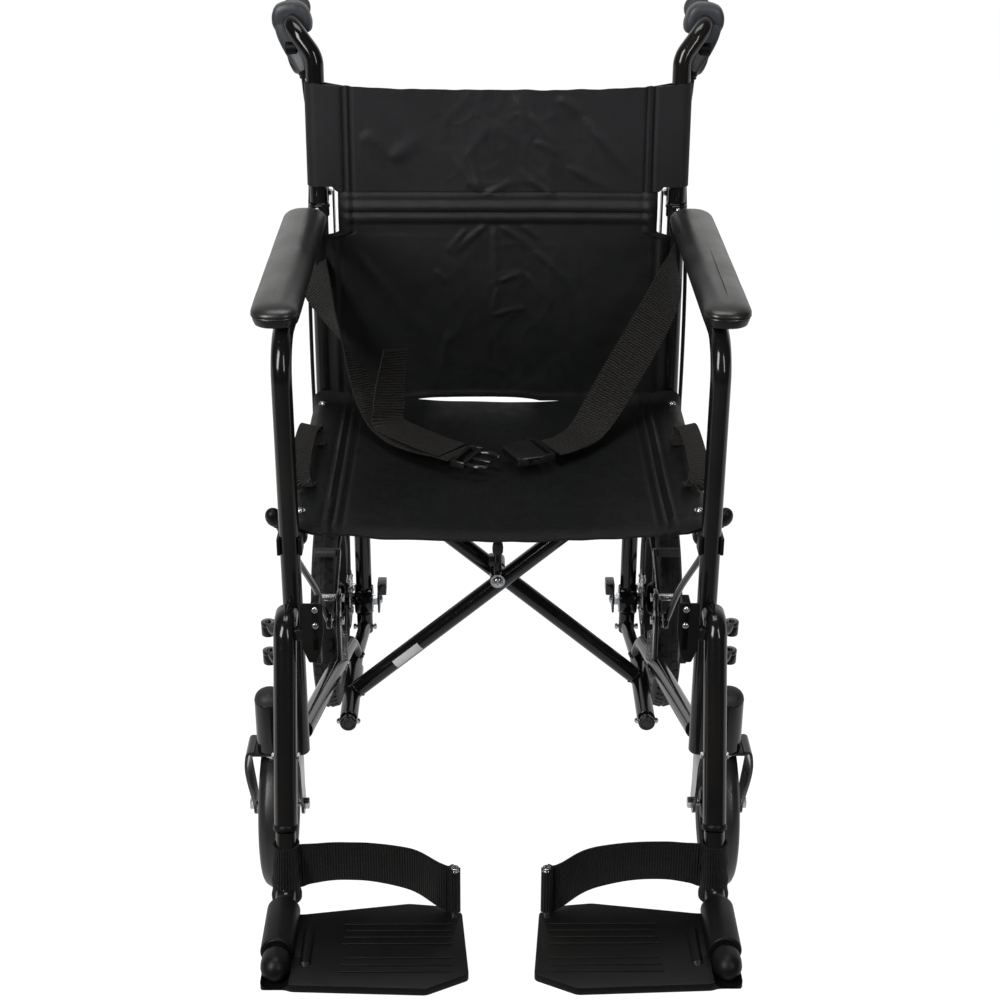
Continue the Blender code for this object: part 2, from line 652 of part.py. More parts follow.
def brake_cable(tag, s):
    """Brake cable: from the hand lever down the back of the cane and post to the rear brake."""
    x = s * (CANE_X - 0.0160)
    route = [(s * (GRIP_X - 0.016), GRIP_START - 0.034, GRIP_Z - 0.046),
             (s * (GRIP_X - 0.018), GRIP_START - 0.040, GRIP_Z - 0.075),
             (s * (CANE_X + 0.016), cane_y(0.83) + 0.012, 0.830),
             (s * (CANE_X + 0.017), cane_y(0.76) + 0.012, 0.760),
             (s * (CANE_X + 0.018), cane_y(0.70) + 0.016, 0.690),
             (s * (CANE_X + 0.0165), cane_y(0.60) + 0.010, 0.600),
             (s * (CANE_X + 0.0160), cane_y(0.48) + 0.010, 0.480),
             (s * (CANE_X + 0.012), cane_y(0.40) + 0.006, 0.395),
             (s * (POST_X + 0.020), REAR_Y - 0.030, 0.330), (s * (POST_X + 0.0165), REAR_Y - 0.040, 0.280),
             (s * (BRAKE_X - 0.0035), REAR_Y - 0.040, REAR_R + 0.056)]
    return finish(tube("brake_cable", flowing(route, 2), 0.0025, 1), "brake_cable_" + tag, "black_rubber")


def wheel_lock(tag, s):
    """Wheel lock: a hand lever with a ball knob, and the roller arm it drives against the tyre."""
    pivot = Vector((s * 0.2140, LOCK_Y, LOCK_Z))
    inner, outer = s * 0.2065, s * 0.2125
    shoe = Vector((0, REAR_Y + SHOE_REACH * math.cos(SHOE_ANGLE),
                   REAR_R + SHOE_REACH * math.sin(SHOE_ANGLE)))
    knob = Vector((s * 0.2610, -0.052, 0.4520))
    hub = cylinder("hub", (s * 0.2132, LOCK_Y, LOCK_Z), (s * 0.2192, LOCK_Y, LOCK_Z), 0.0110, 20)
    stem = tube("stem", flowing([pivot + Vector((s * 0.0030, 0, 0)),
                                 pivot + Vector((s * 0.014, -0.030, 0.060)),
                                 pivot + Vector((s * 0.030, -0.095, 0.140)), knob], 3), 0.0040, 2)
    ball = turned("ball", [(0.0, 0.0125), (0.0050, 0.0115), (0.0078, 0.0070), (0.0082, 0.0),
                           (0.0072, -0.0080),
                           (0.0050, -0.0125), (0.0, -0.0125)], knob,
                           knob - pivot - Vector((0, -0.06, 0.08)), 12)
    lever = finish(combine(hub, [stem, ball]), "wheel_lock_lever_" + tag, "satin_black_plastic")
    boss = cylinder("boss", (inner, LOCK_Y, LOCK_Z), (outer, LOCK_Y, LOCK_Z), 0.0095, 16)
    arm = tube("arm", [Vector(((inner + outer) / 2, LOCK_Y, LOCK_Z)),
                       Vector(((inner + outer) / 2, shoe.y, shoe.z))], 0.0028, 2)
    roller = cylinder("roller", (inner, shoe.y, shoe.z), (s * (REAR_X + 0.010), shoe.y, shoe.z), SHOE_R, 16)
    shoe_arm = finish(combine(boss, [arm, roller]), "wheel_lock_shoe_" + tag, "zinc_steel", 30.0)
    return lever, shoe_arm


# ---------------------------------------------------------------- footrests
def hanger_point(z):
    """Point on the sloping run of the hanger at height z."""
    share = (HANGER_TOP_Z - z) / (HANGER_TOP_Z - TOE_Z)
    return Vector((0, HANGER_BEND_Y + share * (TOE_Y - HANGER_BEND_Y), z))


def hanger_tube(tag, s):
    """Swing-away hanger: bent tube with clamp ring, hinge lugs with pins, and the latch tab."""
    x = s * HANGER_X
    ring = hanger_point(RING_Z) + Vector((x, 0, 0))
    slope = (hanger_point(TOE_Z) - hanger_point(HANGER_TOP_Z)).normalized()
    path = filleted([(x, FRONT_Y - TUBE_R - 0.0010, HANGER_TOP_Z), (x, HANGER_BEND_Y, HANGER_TOP_Z), ring],
                    [0.022], 6)
    hanger = tube("hanger", path, HANGER_R)
    collar = cylinder("collar", ring - slope * 0.004, ring + slope * 0.0045, 0.0145, 16)
    bolt_at = hanger_point(0.262) + Vector((x, 0, 0))
    bolt = cylinder("bolt", bolt_at + Vector((-0.0150, 0, 0)), bolt_at + Vector((0.0150, 0, 0)), 0.0035, 12)
    fittings = [collar, bolt]
    for z in (0.3845, 0.3485):
        outline = [(s * (SWING_X + 0.0078 * math.cos(math.radians(a))),
                    SWING_Y + 0.0078 * math.sin(math.radians(a)))
                   for a in (120, 90, 60, 30, 0, -30, -60)]
        outline += [(s * (HANGER_X + 0.004), -0.212), (s * (HANGER_X - 0.002), -0.200),
                    (s * 0.2450, -0.188)]
        fittings.append(slab("lug", outline, 0.005, Matrix.Translation((0, 0, z))))
        fittings.append(cylinder("pin", (s * SWING_X, SWING_Y, z - 0.012),
                                 (s * SWING_X, SWING_Y, z + 0.0042), 0.0032, 8))
    fittings.append(box("tab", (s * 0.2060, -0.2140, 0.3800), (s * 0.2300, -0.2020, 0.3930)))
    return finish(combine(hanger, fittings), "hanger_tube_" + tag, "gloss_black_paint")


def hanger_latch(tag, s):
    """Release lever of the swing-away hanger, inboard of the upright."""
    outline = [(-0.0110, 0.0080), (0.0110, 0.0080), (0.0110, -0.0260), (0.0060, -0.0420),
               (-0.0030, -0.0420),
               (-0.0080, -0.0260)]
    place = Matrix.Translation((s * 0.2010, -0.2080, 0.3865)) @ Matrix(
        ((0, 0, 1, 0), (1, 0, 0, 0), (0, 1, 0, 0), (0, 0, 0, 1)))
    return finish(slab("latch", outline, 0.0088, place, 0.0012), "hanger_latch_" + tag,
                  "satin_black_plastic")


def footrest_tube(tag, s):
    """Extension tube of the footrest: down from the hanger, bent forward, with a ball end."""
    x = s * HANGER_X
    slope = (hanger_point(TOE_Z) - hanger_point(HANGER_TOP_Z)).normalized()
    start = hanger_point(RING_Z) + Vector((x, 0, 0)) + slope * 0.0051
    path = filleted([start, (x, TOE_Y, TOE_Z), (x, BALL_Y, TOE_Z)], [0.024], 5)
    stem = tube("footrest", path, TUBE_R)
    ball = turned("ball", [(0.0, 0.0150), (0.0080, 0.0130), (0.0130, 0.0080), (0.0155, 0.0),
                           (0.0152, -0.0070),
                           (0.0140, -0.0115), (0.0, -0.0115)], (x, BALL_Y - 0.0035, TOE_Z), (0, -1, 0), 18)
    return finish(combine(stem, [ball]), "footrest_tube_" + tag, "satin_black_plastic")


def footplate(tag, s):
    """Moulded footplate with its barrel on the footrest tube, toe ridge and heel-strap post."""
    outline = [(0.2500, -0.4270), (0.2500, -0.4480), (0.2260, PLATE_FRONT), (0.0800, PLATE_FRONT),
               (PLATE_INNER, -0.4280),
               (PLATE_INNER + 0.002, -0.3400), (0.0900, PLATE_REAR + 0.001), (0.1600, PLATE_REAR),
               (0.2080, -0.3360),
               (0.2300, -0.3430), (0.2500, -0.3430)]
    middle = PLATE_TOP - PLATE_T / 2
    place = Matrix.Translation((0, 0, middle))
    plate = slab("plate", [(s * px, py) for px, py in outline], PLATE_T, place, 0.0015)
    barrel = cylinder("barrel", (s * HANGER_X, BARREL_REAR, TOE_Z), (s * HANGER_X, BARREL_FRONT, TOE_Z),
                      0.0180, 20)
    post = cylinder("post", (s * POST_IN_X, POST_IN_Y, PLATE_TOP - 0.004),
                    (s * POST_IN_X, POST_IN_Y, POST_TOP), 0.0034, 16)
    ridge = box("ridge", (s * 0.1960, -0.4500, PLATE_TOP - 0.002),
                (s * 0.2020, -0.3400, PLATE_TOP + 0.0035))
    bore = cylinder("bore", (s * HANGER_X, -0.30, TOE_Z), (s * HANGER_X, -0.4216, TOE_Z), TUBE_R + 0.0004,
                    16)
    room = cylinder("room", (s * HANGER_X, -0.4183, TOE_Z), (s * HANGER_X, -0.50, TOE_Z), 0.0165, 16)
    back = cylinder("room", (s * HANGER_X, -0.3427, TOE_Z), (s * HANGER_X, -0.30, TOE_Z), 0.0300, 12)
    combine(plate, [barrel, post, ridge])
    combine(plate, [bore, room, back], "DIFFERENCE")
    return finish(plate, "footplate_" + tag, "satin_black_plastic", 30.0)


def heel_loop(tag, s):
    """Heel strap: a sleeve round the footrest tube and a band across to the post on the plate."""
    z0, z1 = 0.1150, 0.1750
    centre = hanger_point((z0 + z1) / 2)
    route = [(HANGER_X - 0.0125, centre.y + 0.006), (0.2100, centre.y + 0.010), (0.1700, -0.296),
             (0.1200, -0.300),
             (0.0800, -0.312), (0.0560, POST_IN_Y - 0.004)]
    path = flowing([(s * px, py, 0.0) for px, py in route], 3)
    band = sheet("band", [[(p.x, p.y, z0 + 0.004), (p.x, p.y, z1 - 0.004)] for p in path], 0.0024)
    return finish(band, "heel_loop_" + tag, "black_webbing")


# ---------------------------------------------------------------- cross brace
def cross_tube(name, s, y, tall):
    """Cross tube from the lower pivot on side -s up to the seat rail on side s, with sleeve and bolt boss."""
    low = Vector((-s * PIVOT_X, y, PIVOT_Z))
    high = Vector((s * CANE_X, y, SEAT_Z))
    along = (high - low).normalized()
    bar = tube(name, [low + along * 0.0020, high - along * (TUBE_R + GAP)], TUBE_R)
    sleeve = cylinder("sleeve", (-s * PIVOT_X, SLEEVE_FRONT, PIVOT_Z),
                      (-s * PIVOT_X, SLEEVE_REAR, PIVOT_Z), 0.0115, 18)
    bore = cylinder("bore", (-s * PIVOT_X, 0.0, PIVOT_Z), (-s * PIVOT_X, 0.25, PIVOT_Z), 0.0094, 16)
    boss = cylinder("boss", (0, y - 0.0128, BOLT_Z), (0, y + 0.0145, BOLT_Z), 0.0100, 16)
    hole = cylinder("hole", (0, y - 0.05, BOLT_Z), (0, y + 0.05, BOLT_Z), 0.0043, 12)
    others = [sleeve, boss]
    if tall:
        profile = [(0.0, 0.0460), (0.0040, 0.0450), (0.0062, 0.0410), (0.0066, 0.0300), (0.0050, 0.0300),
                   (0.0050, 0.0), (0.0, 0.0)]
        others.append(turned("bumper", profile, (0, y - 0.004, BOLT_Z + 0.0065), (0, 0, 1), 12))
    combine(bar, others)
    return finish(combine(bar, [bore, hole], "DIFFERENCE"), name, "gloss_black_paint")


def cross_bolt():
    """Bolt at the middle of the cross brace, with its washer head and lock nut."""
    front = FRONT_TUBE_Y - 0.0132
    rear = REAR_TUBE_Y + 0.0149
    length = rear - front
    profile = [(0.0, 0.0048), (0.0040, 0.0044), (0.0068, 0.0028), (0.0076, 0.0), (0.0040, 0.0),
               (0.0040, -length),
               (0.0070, -length), (0.0070, -length - 0.006), (0.0, -length - 0.006)]
    bolt = turned("cross_bolt", profile, (0, front, BOLT_Z), (0, -1, 0), 14)
    return finish(bolt, "cross_bolt", "zinc_steel", 30.0)


# ---------------------------------------------------------------- upholstery and belt
def seat_sling():
    """Seat cloth between the rails, sagging a little at the middle."""
    edge = SEAT_Z + TUBE_R + GAP + SLING_T / 2
    half = CANE_X + 0.0105
    rows = []
    for i in range(6):
        y = SEAT_FRONT - 0.003 + i * (SEAT_REAR + SEAT_OVERHANG - SEAT_FRONT) / 5
        row = []
        for j in range(-6, 7):
            share = abs(j) / 6
            x = half * math.copysign(share, j)
            inside = max(0.0, 1.0 - (abs(x) / (CANE_X - 0.006)) ** 2)
            row.append((x, y, edge - 0.012 * inside))
        rows.append(row)
    return finish(sheet("seat_sling", rows, SLING_T), "seat_sling", "black_nylon")


def back_upper():
    """Upper back cloth: a wide sleeve band hung round both upper canes."""
    rows = []
    for i in range(5):
        z = BACK_SPLIT + i * (BACK_TOP - BACK_SPLIT) / 4
        front = cane_y(z) - TUBE_R - GAP - SLING_T / 2
        rows.append([(CANE_X * 1.056 * j / 4, front, z) for j in range(-4, 5)])
    return finish(sheet("back_upper", rows, SLING_T), "back_upper", "black_nylon")


def back_lower():
    """Lower back cloth between the lower canes."""
    rows = []
    for i in range(6):
        z = BACK_BOTTOM + i * (BACK_SPLIT - 0.0010 - BACK_BOTTOM) / 5
        front = cane_y(z) - TUBE_R - GAP - SLING_T / 2
        rows.append([(0.1990 * j / 4, front, z) for j in range(-4, 5)])
    return finish(sheet("back_lower", rows, SLING_T), "back_lower", "black_nylon")


def belt(tag, s):
    """Half of the seat belt: webbing from the cane down across the seat to its half of the buckle."""
    if s < 0:
        route = [(-0.2140, 0.2400, 0.6400), (-0.2080, 0.2050, 0.6050), (-0.1800, 0.1680, 0.5560),
                 (-0.1500, 0.1280, 0.5080), (-0.1180, 0.0920, 0.4935), (-0.0480, 0.0340, 0.4925)]
        loose_end = [(-0.1230, 0.0960, 0.4945), (-0.1330, 0.1160, 0.4980), (-0.1385, 0.1420, 0.5350),
                     (-0.1265, 0.1510, 0.5800)]
        centre, half_length, angle = Vector((-0.0330, 0.0250, 0.4930)), 0.0200, math.radians(-26)
    else:
        route = [(0.2140, 0.2400, 0.6600), (0.2010, 0.1960, 0.6200), (0.1700, 0.1600, 0.5700),
                 (0.1290, 0.1180, 0.5150), (0.1020, 0.0880, 0.4960), (0.0530, 0.0480, 0.4930)]
        loose_end = []
        centre, half_length, angle = Vector((0.0370, 0.0400, 0.4935)), 0.0240, math.radians(26)
    rows = []
    path = flowing(route, 3)
    for i, p in enumerate(path):
        share = i / (len(path) - 1)
        across = Vector((s * (0.35 - 0.80 * share), 0.70 * share + 0.10, 0.50 * (1 - share))).normalized()
        rows.append([p - across * BELT_HALF, p + across * BELT_HALF])
    band = sheet("belt", rows, BELT_T)
    clip = box("clip", (-half_length, -0.0265, -0.0050), (half_length, 0.0265, 0.0050), 0.003)
    clip.data.transform(Matrix.Translation(centre) @ Matrix.Rotation(angle, 4, "Z"))
    others = [clip]
    if loose_end:
        across = Vector((0.75, 0.65, 0.10)).normalized() * BELT_HALF
        others.append(sheet("loose_end", [[p - across, p + across] for p in flowing(loose_end, 3)], BELT_T))
    return finish(combine(band, others), "belt_" + tag, "black_webbing")


# ---------------------------------------------------------------- build one side
PIECES = {
    "arm_frame": arm_frame, "rear_post": rear_post, "side_rail": side_rail, "seat_rail": seat_rail,
    "push_cane": push_cane, "back_hinge": back_hinge, "handle_grip": handle_grip,
    "brake_lever": brake_lever, "arm_pad": arm_pad, "caster_housing": caster_housing,
    "caster_fork": caster_fork, "rear_axle": rear_axle, "brake_plate": brake_plate, "brake_arm": brake_arm,
    "brake_cable": brake_cable, "hanger_tube": hanger_tube, "hanger_latch": hanger_latch,
    "footrest_tube": footrest_tube, "footplate": footplate, "heel_loop": heel_loop, "belt": belt,
}


def build_side(tag, s):
    """All the pieces of one side, by name."""
    made = {name: make(tag, s) for name, make in PIECES.items()}
    made["caster_wheel"], made["caster_tyre"] = caster_wheel(tag, s)
    made["rear_wheel"], made["rear_tyre"] = rear_wheel(tag, s)
    made["wheel_lock_lever"], made["wheel_lock_shoe"] = wheel_lock(tag, s)
    return made


def rig_side(tag, s, made, rail_body):
    """Empties on this side's axes, with the moving pieces parented to them."""
    side = "frame_" + tag
    body(side, (s * PIVOT_X, 0.10, PIVOT_Z))
    carry(side, *[made[n] for n in ("arm_frame", "rear_post", "side_rail", "back_hinge", "arm_pad",
                                    "caster_housing",
                                    "rear_axle", "brake_plate", "brake_cable", "belt")])
    body("back_" + tag, hinge_point(s))
    carry("back_" + tag, made["push_cane"], made["handle_grip"])
    body("brake_lever_" + tag, (s * (GRIP_X - 0.004), GRIP_START - 0.018, GRIP_Z - 0.030))
    carry("brake_lever_" + tag, made["brake_lever"])
    body("brake_arm_" + tag, (s * BRAKE_X, *BRAKE_CAM))
    carry("brake_arm_" + tag, made["brake_arm"])
    body("caster_" + tag, (s * CASTER_X, STEM_Y, CASTER_R))
    carry("caster_" + tag, made["caster_fork"])
    body("caster_wheel_" + tag, (s * CASTER_X, STEM_Y + CASTER_TRAIL, CASTER_R))
    carry("caster_wheel_" + tag, made["caster_wheel"], made["caster_tyre"])
    body("rear_wheel_" + tag, (s * REAR_X, REAR_Y, REAR_R))
    carry("rear_wheel_" + tag, made["rear_wheel"], made["rear_tyre"])
    body("hanger_" + tag, (s * SWING_X, SWING_Y, 0.36))
    carry("hanger_" + tag, made["hanger_tube"], made["footrest_tube"], made["heel_loop"])
    body("hanger_latch_" + tag, (s * 0.2010, -0.2080, 0.3925))
    carry("hanger_latch_" + tag, made["hanger_latch"])
    body("footplate_" + tag, (s * HANGER_X, BARREL_REAR, TOE_Z))
    carry("footplate_" + tag, made["footplate"])
    body("wheel_lock_" + tag, (s * 0.2140, LOCK_Y, LOCK_Z))
    carry("wheel_lock_" + tag, made["wheel_lock_lever"])
    body("wheel_lock_shoe_" + tag, (s * 0.2095, LOCK_Y, LOCK_Z))
    carry("wheel_lock_shoe_" + tag, made["wheel_lock_shoe"])
    carry(rail_body, made["seat_rail"])


body("brace_front", (-PIVOT_X, FRONT_TUBE_Y, PIVOT_Z))
body("brace_rear", (0, REAR_TUBE_Y, BOLT_Z))
rig_side("left", 1.0, build_side("left", 1.0), "brace_front")
rig_side("right", -1.0, build_side("right", -1.0), "brace_rear")
carry("brace_front", cross_tube("cross_tube_front", 1.0, FRONT_TUBE_Y, True), cross_bolt(), seat_sling())
carry("brace_rear", cross_tube("cross_tube_rear", -1.0, REAR_TUBE_Y, False))
carry("frame_right", back_lower())
carry("back_right", back_upper())
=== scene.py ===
import json
import math

import bmesh
import bpy
from mathutils import Matrix, Vector, noise


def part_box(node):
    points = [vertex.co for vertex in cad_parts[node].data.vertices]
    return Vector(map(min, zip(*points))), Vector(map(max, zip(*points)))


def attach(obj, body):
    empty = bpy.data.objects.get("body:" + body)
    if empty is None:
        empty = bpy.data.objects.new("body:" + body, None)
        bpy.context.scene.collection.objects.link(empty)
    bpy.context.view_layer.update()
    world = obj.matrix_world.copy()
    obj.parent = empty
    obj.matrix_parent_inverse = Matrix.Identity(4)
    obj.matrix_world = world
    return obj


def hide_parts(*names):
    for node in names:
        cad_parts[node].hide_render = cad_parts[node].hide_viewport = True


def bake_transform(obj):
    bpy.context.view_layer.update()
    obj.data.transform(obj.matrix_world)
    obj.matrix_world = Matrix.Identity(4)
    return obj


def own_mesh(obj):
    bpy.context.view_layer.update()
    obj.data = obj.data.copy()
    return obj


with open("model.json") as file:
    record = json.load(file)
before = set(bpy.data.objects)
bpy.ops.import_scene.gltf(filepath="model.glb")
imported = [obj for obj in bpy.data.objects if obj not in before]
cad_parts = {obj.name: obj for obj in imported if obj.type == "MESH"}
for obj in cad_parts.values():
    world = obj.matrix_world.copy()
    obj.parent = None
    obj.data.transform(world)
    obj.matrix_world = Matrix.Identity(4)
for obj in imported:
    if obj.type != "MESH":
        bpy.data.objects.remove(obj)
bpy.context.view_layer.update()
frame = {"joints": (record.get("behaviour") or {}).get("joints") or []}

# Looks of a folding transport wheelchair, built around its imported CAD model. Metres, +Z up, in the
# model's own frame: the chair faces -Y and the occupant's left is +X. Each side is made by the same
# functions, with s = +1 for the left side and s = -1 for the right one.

joints = {joint["name"]: joint for joint in frame["joints"]}


# ---------------------------------------------------------------- places read from the frame
def middle(node):
    """Centre of a CAD node's box."""
    low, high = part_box(node)
    return (low + high) / 2


def axis_point(joint):
    """A point on a joint's axis at rest."""
    return Vector(joints[joint]["pos_m"])


rail_low, rail_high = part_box("seat_rail_left")
pad_low, pad_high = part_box("arm_pad_left")
frame_low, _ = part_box("arm_frame_left")
post_low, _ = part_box("rear_post_left")
plate_low, plate_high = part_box("footplate_left")
upper_low, upper_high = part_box("back_upper")
lower_low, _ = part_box("back_lower")
tyre_low, tyre_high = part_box("rear_tyre_left")
small_low, small_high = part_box("caster_tyre_left")
hinge_low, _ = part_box("back_hinge_left")
housing_low, housing_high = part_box("caster_housing_left")

HINGE = axis_point("back_fold")
PIVOT = axis_point("frame_left_pivot")
CROSS = axis_point("cross_pivot")
REAR_HUB = axis_point("rear_wheel_left")
CASTER_HUB = axis_point("caster_wheel_left")
STEM = axis_point("caster_swivel_left")
SWING = axis_point("hanger_swing_left")
LATCH = axis_point("hanger_latch_left")
FLIP = axis_point("footplate_flip_left")
LOCK = axis_point("wheel_lock_left")
LEVER = axis_point("brake_lever_left")
CAM = axis_point("brake_arm_left")

GAP = 0.0003                                    # clearance between pieces that touch
TUBE_R = (rail_high.x - rail_low.x) / 2         # 22 mm frame tube
HANGER_R = 0.0127
CANE_X = middle("seat_rail_left").x
SEAT_Z = middle("seat_rail_left").z
SEAT_FRONT = rail_low.y + 0.0025
SEAT_REAR = rail_high.y - 0.0025
ARM_X = frame_low.x + TUBE_R
ARM_Z = pad_low.z - 0.0115
ARM_BEND = 0.045
FRONT_Y = STEM.y - 0.012                        # front upright
PAD_X = middle("arm_pad_left").x
RECLINE = 0.07                                  # rearward lean of the canes, per metre of height
CANE_Y = HINGE.y - 0.0215 - RECLINE * (HINGE.z - SEAT_Z)
COLLAR_TOP = HINGE.z - 0.0085
HINGE_FOOT = hinge_low.z + 0.001
CANE_TOP = 0.915
GRIP_X = LEVER.x + 0.004
GRIP_Z = LEVER.z + 0.030
GRIP_START = LEVER.y + 0.018
GRIP_END = GRIP_START + 0.117
POST_X = REAR_HUB.x - 0.046
HANGER_X = FLIP.x
HANGER_TOP_Z = 0.385
HANGER_BEND_Y = -0.207
RING_Z = 0.190
TOE_Y = -0.322
TOE_Z = FLIP.z
BALL_Y = FLIP.y - 0.0535
BARREL_REAR = FLIP.y + 0.037
BARREL_FRONT = FLIP.y - 0.038
PLATE_TOP = 0.113
BACK_TOP = upper_high.z
BACK_SPLIT = upper_low.z
BACK_BOTTOM = lower_low.z
CLOTH_T = 0.0022
FRONT_TUBE_Y = 0.102                            # cross tube that rises to the left
LOCK_PLATE_IN, LOCK_PLATE_OUT = 0.2010, 0.2060  # faces of the plate that carries the wheel lock
LATCH_X = 0.2010
SPOKES, CASTER_RIBS, TREAD_BLOCKS = 6, 8, 60    # numbers round a wheel, the blocks in each of two rows
REAR_TUBE_Y = PIVOT.y                           # cross tube that rises to the right


def cane_y(z):
    """Y of the reclined cane's centre line at height z."""
    return CANE_Y + RECLINE * (z - SEAT_Z)


def hanger_point(z):
    """Point on the sloping run of the footrest hanger at height z, in the plane X = 0."""
    share = (HANGER_TOP_Z - z) / (HANGER_TOP_Z - TOE_Z)
    return Vector((0, HANGER_BEND_Y + share * (TOE_Y - HANGER_BEND_Y), z))


# ---------------------------------------------------------------- curves
def rounded(points, radii, steps=14):
    """Polyline with its inner corners turned into arcs."""
    path = [Vector(points[0])]
    for before, corner, after, radius in zip(points, points[1:], points[2:], radii):
        corner = Vector(corner)
        back = (Vector(before) - corner).normalized()
        ahead = (Vector(after) - corner).normalized()
        half = back.angle(ahead) / 2
        centre = corner + (back + ahead).normalized() * (radius / math.sin(half))
        start = (corner + back * (radius / math.tan(half)) - centre).normalized()
        end = (corner + ahead * (radius / math.tan(half)) - centre).normalized()
        path += [centre + start.slerp(end, i / steps) * radius for i in range(steps + 1)]
    return path + [Vector(points[-1])]


def flowing(points, steps=8):
    """Smooth curve through all the points (Catmull-Rom)."""
    knots = [Vector(p) for p in points]
    knots = [2 * knots[0] - knots[1]] + knots + [2 * knots[-1] - knots[-2]]
    path = []
    for a, b, c, d in zip(knots, knots[1:], knots[2:], knots[3:]):
        for i in range(steps):
            t = i / steps
            path.append(0.5 * (2 * b + (c - a) * t + (2 * a - 5 * b + 4 * c - d) * t ** 2
                               + (3 * b - a - 3 * c + d) * t ** 3))
    return path + [knots[-2]]


def corners_cut(outline, radius, steps=4):
    """Closed outline of 2D points with every corner rounded."""
    made = []
    count = len(outline)
    for i in range(count):
        corner = Vector((*outline[i], 0))
        back = Vector((*outline[i - 1], 0)) - corner
        ahead = Vector((*outline[(i + 1) % count], 0)) - corner
        reach = min(radius, back.length * 0.45, ahead.length * 0.45)
        start, end = corner + back.normalized() * reach, corner + ahead.normalized() * reach
        for k in range(steps + 1):
            t = k / steps
            p = start * (1 - t) ** 2 + corner * 2 * t * (1 - t) + end * t ** 2
            made.append((p.x, p.y))
    return made


def eased(profile, cut=0.0008, steps=3):
    """Lathe profile with its inner corners softened."""
    made = [profile[0]]
    for before, corner, after in zip(profile, profile[1:], profile[2:]):
        c = Vector(corner)
        back, ahead = Vector(before) - c, Vector(after) - c
        start = c + back.normalized() * min(cut, back.length * 0.45)
        end = c + ahead.normalized() * min(cut, ahead.length * 0.45)
        for k in range(steps + 1):
            t = k / steps
            made.append(tuple(start * (1 - t) ** 2 + c * 2 * t * (1 - t) + end * t ** 2))
    return made + [profile[-1]]


def path_length(points):
    """Length of the line through a list of points."""
    return sum((b - a).length for a, b in zip(points, points[1:]))


def squircle(across, up, wide, deep, power, sides=24):
    """Ring of offsets along two directions, between an ellipse (power 2) and a box (a high power)."""
    ring = []
    for k in range(sides):
        a, b = math.cos(math.tau * k / sides), math.sin(math.tau * k / sides)
        bend = 1 / (abs(a) ** power + abs(b) ** power) ** (1 / power)
        ring.append(across * (a * bend * wide) + up * (b * bend * deep))
    return ring


def aimed(direction):
    """Rotation that turns +Z to a direction."""
    return Vector((0, 0, 1)).rotation_difference(Vector(direction).normalized()).to_matrix().to_4x4()


def placed(x_axis, y_axis, z_axis, at):
    """Matrix that puts a shape's own axes along three directions and its origin at a point."""
    return Matrix([*zip(x_axis, y_axis, z_axis, at), (0, 0, 0, 1)])


def frames(path):
    """Tangent, normal and side vector at each point of a path, carried along without twist."""
    made = []
    normal = None
    for i in range(len(path)):
        ahead = (path[min(i + 1, len(path) - 1)] - path[max(i - 1, 0)]).normalized()
        if normal is None:
            spare = Vector((0, 0, 1)) if abs(ahead.z) < 0.9 else Vector((1, 0, 0))
            normal = ahead.cross(spare).normalized()
        else:
            normal = (normal - ahead * normal.dot(ahead)).normalized()
        made.append((ahead, normal, ahead.cross(normal)))
    return made


# ---------------------------------------------------------------- parts: (points, faces, UVs in metres)
def surface(rows, wrap=False, caps=False):
    """Rows of points joined into a surface; wrap joins the ends of each row and caps closes both ends."""
    across, down = len(rows[0]), len(rows)
    points = [Vector(p) for row in rows for p in row]
    centre_row = [Vector(p) for p in rows[down // 2]]
    centre_column = [Vector(row[across // 2]) for row in rows]
    if wrap:
        centre_row.append(centre_row[0])
    u, v = [0.0], [0.0]
    for a, b in zip(centre_row, centre_row[1:]):
        u.append(u[-1] + (b - a).length)
    for a, b in zip(centre_column, centre_column[1:]):
        v.append(v[-1] + (b - a).length)
    faces, uvs = [], []
    for r in range(down - 1):
        for c in range(across if wrap else across - 1):
            d = (c + 1) % across
            faces.append((r * across + c, r * across + d, (r + 1) * across + d, (r + 1) * across + c))
            uvs.append(((u[c], v[r]), (u[c + 1], v[r]), (u[c + 1], v[r + 1]), (u[c], v[r + 1])))
    if caps:
        for r in (0, down - 1):
            ring = range(r * across, (r + 1) * across)
            hub = sum((points[i] for i in ring), Vector()) / across
            east = (points[ring[0]] - hub).normalized()
            north = (points[ring[across // 4]] - hub).normalized()
            faces.append(tuple(ring))
            uvs.append(tuple(((points[i] - hub).dot(east), (points[i] - hub).dot(north)) for i in ring))
    return points, faces, uvs


def bar(path, radius, sides=32, chamfer=0.0006):
    """Closed round bar along a path; radius is a number, or a function of the share of the way along."""
    path = [Vector(p) for p in path]
    total = path_length(path)
    size = radius if callable(radius) else lambda share: radius
    rows = []
    gone = 0.0
    for i, (p, (ahead, normal, side)) in enumerate(zip(path, frames(path))):
        if i:
            gone += (p - path[i - 1]).length
        r = size(gone / total)
        ring = [(normal * math.cos(math.tau * k / sides) + side * math.sin(math.tau * k / sides))
                for k in range(sides)]
        if i == 0:
            rows.append([p + q * (r - chamfer) for q in ring])
            rows.append([p + ahead * chamfer + q * r for q in ring])
        elif i == len(path) - 1:
            rows.append([p - ahead * chamfer + q * r for q in ring])
            rows.append([p + q * (r - chamfer) for q in ring])
        else:
            rows.append([p + q * r for q in ring])
    return surface(rows, wrap=True, caps=True)


def rod(start, end, radius, sides=32, chamfer=0.0004):
    """Straight round bar between two points."""
    return bar([start, end], radius, sides, chamfer)


